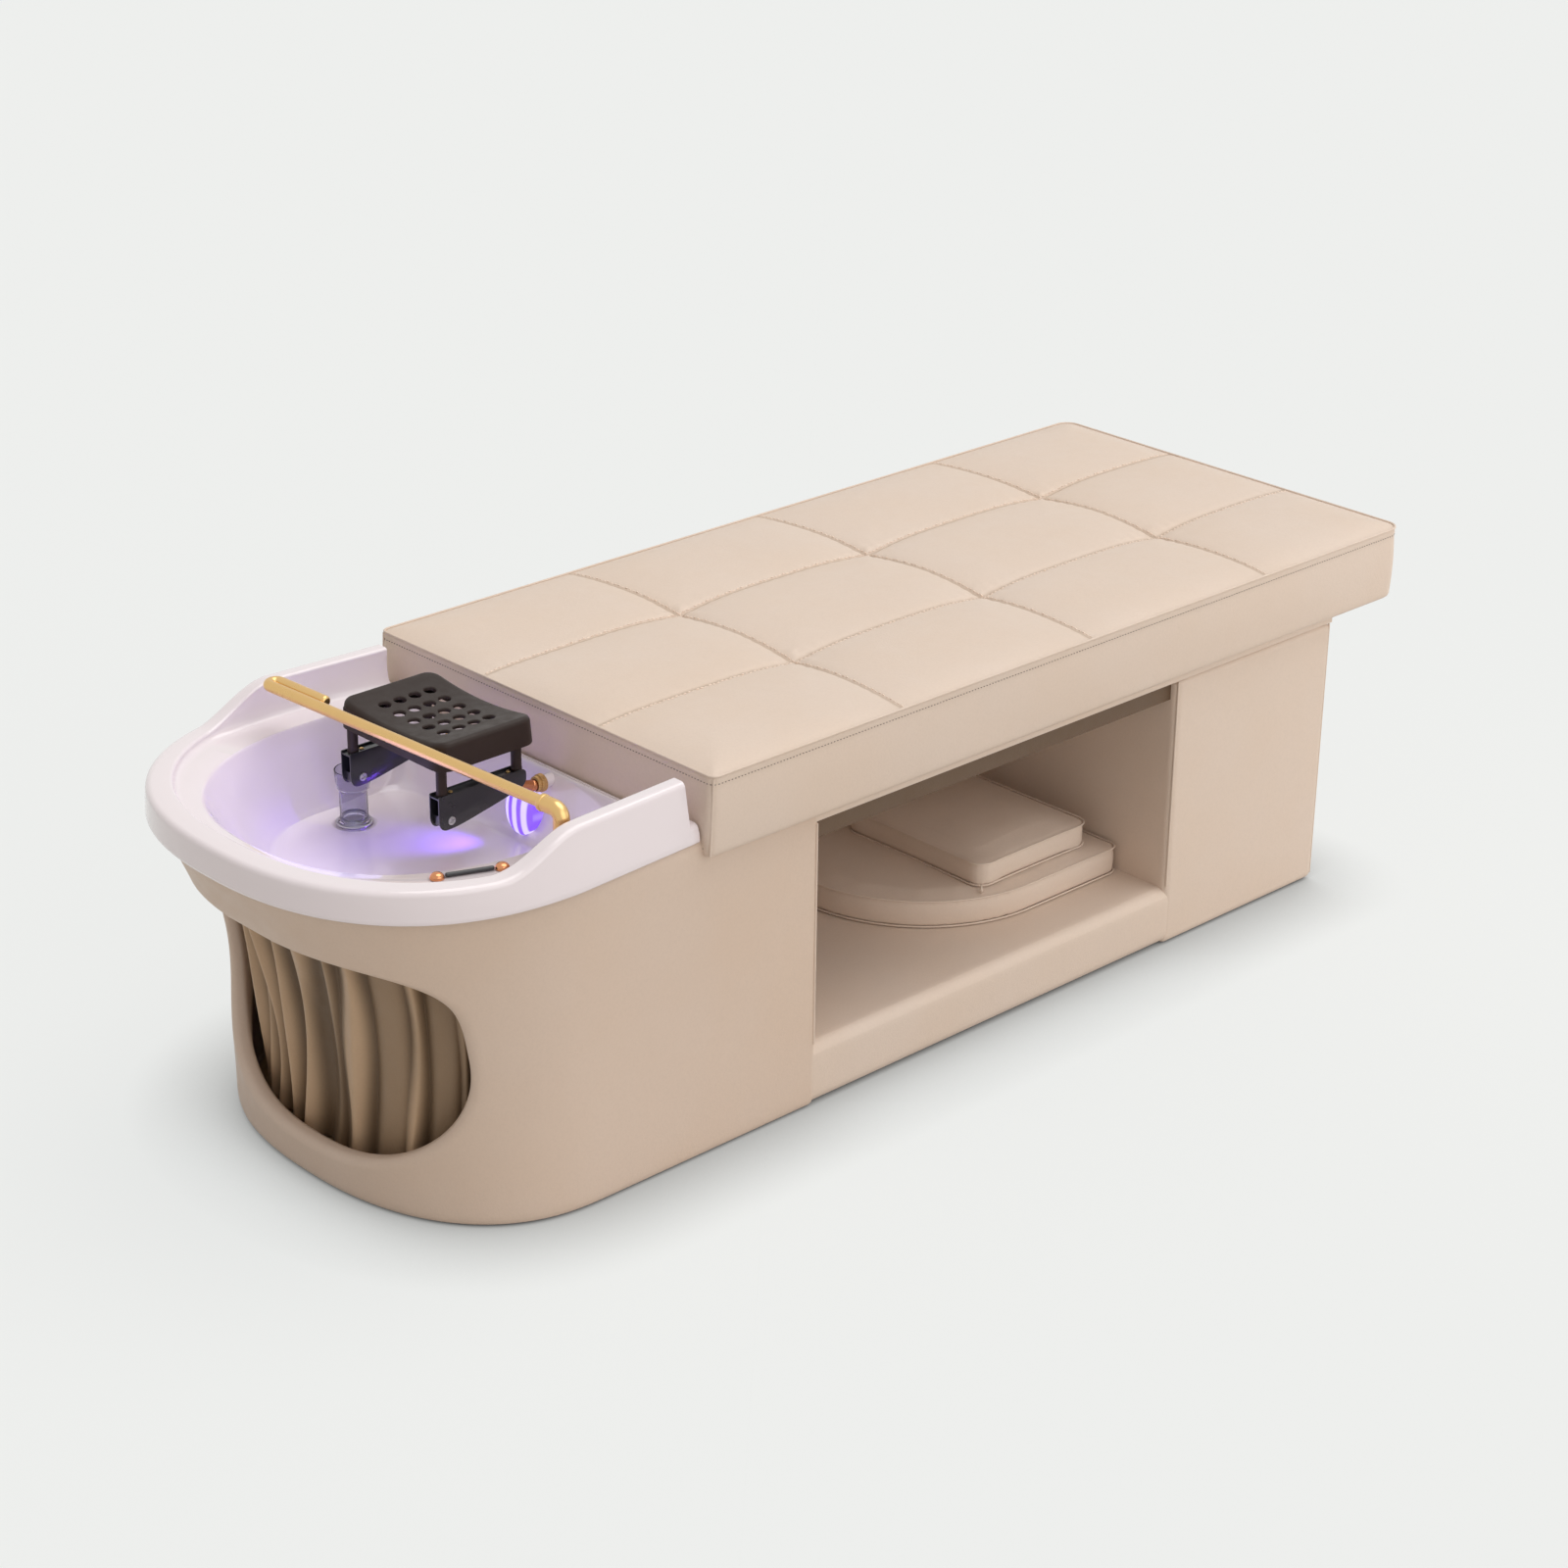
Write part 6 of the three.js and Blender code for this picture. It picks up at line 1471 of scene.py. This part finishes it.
class BED_OT_spigots(BuildPiece, bpy.types.Operator):
    """Coned spigots and knurled lock rings"""

    bl_idname = "bed.spigots"
    bl_label = "Spigots"

    def execute(self, context):
        for side, y in zip(("near", "far"), ARMS):
            neck = -54.9
            tip, root = np.array([-90.6, y, 510.5]), np.array([neck, y, SOCKET_Z])
            t = np.linspace(0, 1, 14)[:, None]
            path = tip + (root - tip) * t
            cone = tube(path, 4.3 + 3.2 * t[:, 0] + 0.5 * np.sin(t[:, 0] * 9) ** 2, 32, normal=(0, 1, 0))
            a = np.linspace(0.06, np.pi - 0.06, 18)
            round_of = np.column_stack([8.6 * np.sin(a), neck - 8.6 * np.cos(a)])
            ball = turned(round_of, (0, y, SOCKET_Z), 40, "x")
            piece(f"spigot_{side}", [cone, ball], "copper", replaces=[f"coned_spigot_{side}"], crease=50)
            rings = [knurl(11.6, -51.7, -45.0, y, bore=9.3), knurl(13.2, -45.8, -36.4, y, bore=7.0)]
            piece(f"ring_{side}", rings, "gold rubbed", body=f"lock_ring_{side}_body",
                  replaces=[f"lock_ring_{side}"], crease=35)
        return {"FINISHED"}


class BED_OT_water_bar(BuildPiece, bpy.types.Operator):
    """Water bar in its riser, and the studs and rail of the near ledge"""

    bl_idname = "bed.water_bar"
    bl_label = "Water Bar"

    def execute(self, context):
        along, across, above = bar_frame()
        bar = tube(bar_path(), BAR_RADIUS, 32, normal=above, round_ends=0.55)
        piece("bar_tube", [bar], "gold", body="water_bar_body", replaces=["water_bar"], crease=50)
        riser = riser_path()
        sleeve = tube(riser, RISER_RADIUS, 36, normal=across, round_ends=0.16)
        lip = [(9.5, -3.4), (12.1, -3.4), (12.5, 0), (12.1, 3.4), (9.5, 3.4)]
        verts, faces = fitting(lip, 1.0, (0, 0, 0), 40)
        turn = Vector((0, 0, 1)).rotation_difference(Vector(along)).to_matrix()
        band = (verts @ np.array(turn).T + BAR_NEAR - along * 4, faces)
        seat = [(0.1, 510.3), (7, 510.3), (7, 532.3), (14.5, 532.3), (14.5, 535.4), (12, 537.3), (0.1, 537.3)]
        foot = fitting(seat, 0.9, (riser[0][0], riser[0][1], 0), 40)
        piece("bar_sleeve", [sleeve, band, foot], "gold", body="water_bar_body", replaces=["bar_riser"],
              crease=50)
        places = ((-388.0, -257.0), (-306.0, -290.0))
        stud = [(0.1, 532.3), (10, 532.3), (10, 534.6), (9.2, 537), (7, 539.6), (3.8, 541), (0.1, 541.3)]
        studs = [fitting(stud, 1.2, (x, y, 0), 40) for x, y in places]
        piece("ledge_studs", studs, "copper", replaces=["ledge_stud_head", "ledge_stud_foot"], crease=60)
        a, b = (np.array([*p, 535.5]) for p in places)
        way = (b - a) / np.linalg.norm(b - a)
        rail = np.linspace(0, 1, 12)[:, None] * (b - a - way * 21.2) + a + way * 10.6
        piece("ledge_bar", [tube(rail, 3.2, 20, round_ends=0.9)], "black steel", replaces=["ledge_rail"],
              crease=0)
        return {"FINISHED"}


class BED_OT_services(BuildPiece, bpy.types.Operator):
    """Finishes of the boards, glides, track, trap, hoses and machines"""

    bl_idname = "bed.services"
    bl_label = "Boards and Services"

    def execute(self, context):
        dress(["cabinet_floor", "pedestal_floor", "mattress_board"], "plywood")
        dress(["deck_board"], "leather")
        # The rails take the dark painted shade of the bay's interior.
        dress(["bay_front_rail", "bay_rear_rail"], "painted shade")
        dress([f"floor_glide_{k}" for k in range(1, 8)] + ["supply_hose"], "rubber")
        dress(["bottle_trap", "curtain_track", "heater_tank"], "white plastic")
        dress(["waste_hose", "waste_outlet", "circulation_pump", "control_box"], "grey plastic")
        dress(["mixing_valve"], "steel")
        return {"FINISHED"}


def any_ray(tree, *kinds):
    """One where a ray is of one of the kinds, otherwise zero."""
    way = tree.nodes.new("ShaderNodeLightPath")
    found = way.outputs[kinds[0]]
    for kind in kinds[1:]:
        either = tree.nodes.new("ShaderNodeMath")
        either.operation = "MAXIMUM"
        tree.links.new(found, either.inputs[0])
        tree.links.new(way.outputs[kind], either.inputs[1])
        found = either.outputs[0]
    return found


def mix_shaders(tree, share, first, second, output):
    """Feeds an output node with a mix of two shaders."""
    mix = tree.nodes.new("ShaderNodeMixShader")
    for source, socket in zip((share, first, second), mix.inputs):
        tree.links.new(source, socket)
    tree.links.new(mix.outputs[0], tree.nodes[output].inputs["Surface"])


def lamp(name, kind, colour, spot=None, back=None, **values):
    """A lamp at a spot, with its back toward a direction."""
    light = bpy.data.lights.new(name, kind)
    light.color = colour
    for key, value in values.items():
        setattr(light, key, value)
    obj = bpy.data.objects.new(name, light)
    if spot is not None:
        obj.location = spot
    if back is not None:
        obj.rotation_euler = Vector(back).to_track_quat("Z", "Y").to_euler()
    bpy.context.scene.collection.objects.link(obj)


class BED_OT_stage(BuildPiece, bpy.types.Operator):
    """Pale floor, soft lamps and the camera at the picture's angle"""

    bl_idname = "bed.stage"
    bl_label = "Stage"

    def execute(self, context):
        scene = bpy.context.scene
        scene.view_settings.view_transform = "Standard"
        self.floor(scene)
        self.room(scene)
        sun = (1.0, 0.985, 0.96)
        lamp("key", "SUN", sun, back=(0.34, -0.10, 0.92), energy=1.31, angle=math.radians(52))
        lamp("fill", "SUN", (1.0, 0.99, 0.98), back=(0.06, -0.92, 0.38), energy=0.74, angle=math.radians(60))
        glow, aim = place((-74.0, -20.0, 452.0)), place((-150.0, 66.0, 402.0))
        lamp("bowl glow", "SPOT", (0.20, 0.07, 1.0), glow.tolist(), (glow - aim).tolist(), energy=1.9,
             spot_size=math.radians(54), spot_blend=1.0, shadow_soft_size=0.012)
        lamp("bowl haze", "POINT", (0.42, 0.36, 1.0), place((-330.0, 70.0, 505.0)).tolist(), energy=0.36,
             shadow_soft_size=0.09)
        lamp("foot lamp", "AREA", sun, (1.60, -1.35, 0.72), (0.62, -0.98, 0.28), energy=2.6, size=0.9)
        self.camera(scene)
        return {"FINISHED"}

    def floor(self, scene):
        """A floor that glows toward the camera, except where something is near it: a painted contact shadow.
        """
        mesh = bpy.data.meshes.new("floor")
        mesh.from_pydata([(-40, -40, 0), (40, -40, 0), (40, 40, 0), (-40, 40, 0)], [], [(0, 1, 2, 3)])
        floor = bpy.data.objects.new("floor", mesh)
        scene.collection.objects.link(floor)
        f = Finish("floor", (0.57, 0.545, 0.51), 0.9, Specular_IOR_Level=0.1)
        f.rough(f.noise(2.0), 0.86, 0.94)
        pale = f.node("ShaderNodeEmission", Color=(0.945, 0.97, 0.965, 1.0))
        # Ambient occlusion dims the glow near the bed: painted contact shadow.
        near = f.node("ShaderNodeAmbientOcclusion", Distance=0.17)
        f.link(near.outputs["AO"], pale.inputs["Strength"])
        seen = f.span(any_ray(f.tree, "Is Camera Ray", "Is Glossy Ray"), 0, 1, 0, 0.75)
        mix_shaders(f.tree, seen, f.shader.outputs[0], pale.outputs[0], "Material Output")
        mesh.materials.append(f.material)

    def room(self, scene):
        """Warm light from all sides, behind a pale backdrop."""
        scene.world = bpy.data.worlds.new("room")
        scene.world.use_nodes = True
        tree = scene.world.node_tree
        light, backdrop = tree.nodes["Background"], tree.nodes.new("ShaderNodeBackground")
        light.inputs["Color"].default_value = (1.0, 0.97, 0.935, 1)
        light.inputs["Strength"].default_value = 0.52
        backdrop.inputs["Color"].default_value = (0.871, 0.880, 0.855, 1)
        seen = any_ray(tree, "Is Camera Ray", "Is Transmission Ray", "Is Glossy Ray")
        mix_shaders(tree, seen, light.outputs[0], backdrop.outputs[0], "World Output")

    def camera(self, scene):
        """The camera fitted to the picture: its angles in radians, its place and its focal length in
        the picture's own pixels."""
        yaw, pitch, roll = 0.763529, 0.418460, 0.0125086
        spot = Vector(place((-2845.678, -3472.052, 2461.2)).tolist())
        focal, picture_width, sensor = 3513.857, 1600, 36
        ahead = Vector((math.cos(pitch) * math.sin(yaw), math.cos(pitch) * math.cos(yaw), -math.sin(pitch)))
        right = Vector((math.cos(yaw), -math.sin(yaw), 0))
        up = right.cross(ahead)
        r, u = right * math.cos(roll) + up * math.sin(roll), up * math.cos(roll) - right * math.sin(roll)
        lens = bpy.data.cameras.new("camera")
        lens.lens, lens.sensor_width = focal / picture_width * sensor, sensor
        lens.clip_end = 200
        camera = bpy.data.objects.new("camera", lens)
        camera.matrix_world = Matrix.Translation(spot) @ Matrix((r, u, -ahead)).transposed().to_4x4()
        scene.collection.objects.link(camera)
        scene.camera = camera


STEPS = ("cabinet", "bay", "curtain", "mattress", "pads", "basin", "headrest", "spigots", "water_bar",
         "services", "stage")


class BED_PT_panel(bpy.types.Panel):
    """Sidebar panel with the bed's sizes, colours and pieces"""

    bl_idname = "BED_PT_panel"
    bl_label = "Washing Bed"
    bl_space_type = "VIEW_3D"
    bl_region_type = "UI"
    bl_category = "Washing Bed"

    def draw(self, context):
        for group in (context.scene.bed_sizes, context.scene.bed_colours):
            for name in group.__annotations__:
                self.layout.prop(group, name)
        for step in STEPS:
            self.layout.operator(f"bed.{step}")


CLASSES = (BedSizes, BedColours, BED_OT_cabinet, BED_OT_bay, BED_OT_curtain, BED_OT_mattress, BED_OT_pads,
           BED_OT_basin, BED_OT_headrest, BED_OT_spigots, BED_OT_water_bar, BED_OT_services, BED_OT_stage,
           BED_PT_panel)


def register():
    for one in CLASSES:
        bpy.utils.register_class(one)
    bpy.types.Scene.bed_sizes = PointerProperty(type=BedSizes)
    bpy.types.Scene.bed_colours = PointerProperty(type=BedColours)


def unregister():
    del bpy.types.Scene.bed_colours, bpy.types.Scene.bed_sizes
    for one in reversed(CLASSES):
        bpy.utils.unregister_class(one)


def main():
    register()
    make_finishes(bpy.context.scene.bed_colours)
    for step in STEPS:
        getattr(bpy.ops.bed, step)()


if __name__ == "__main__":
    main()
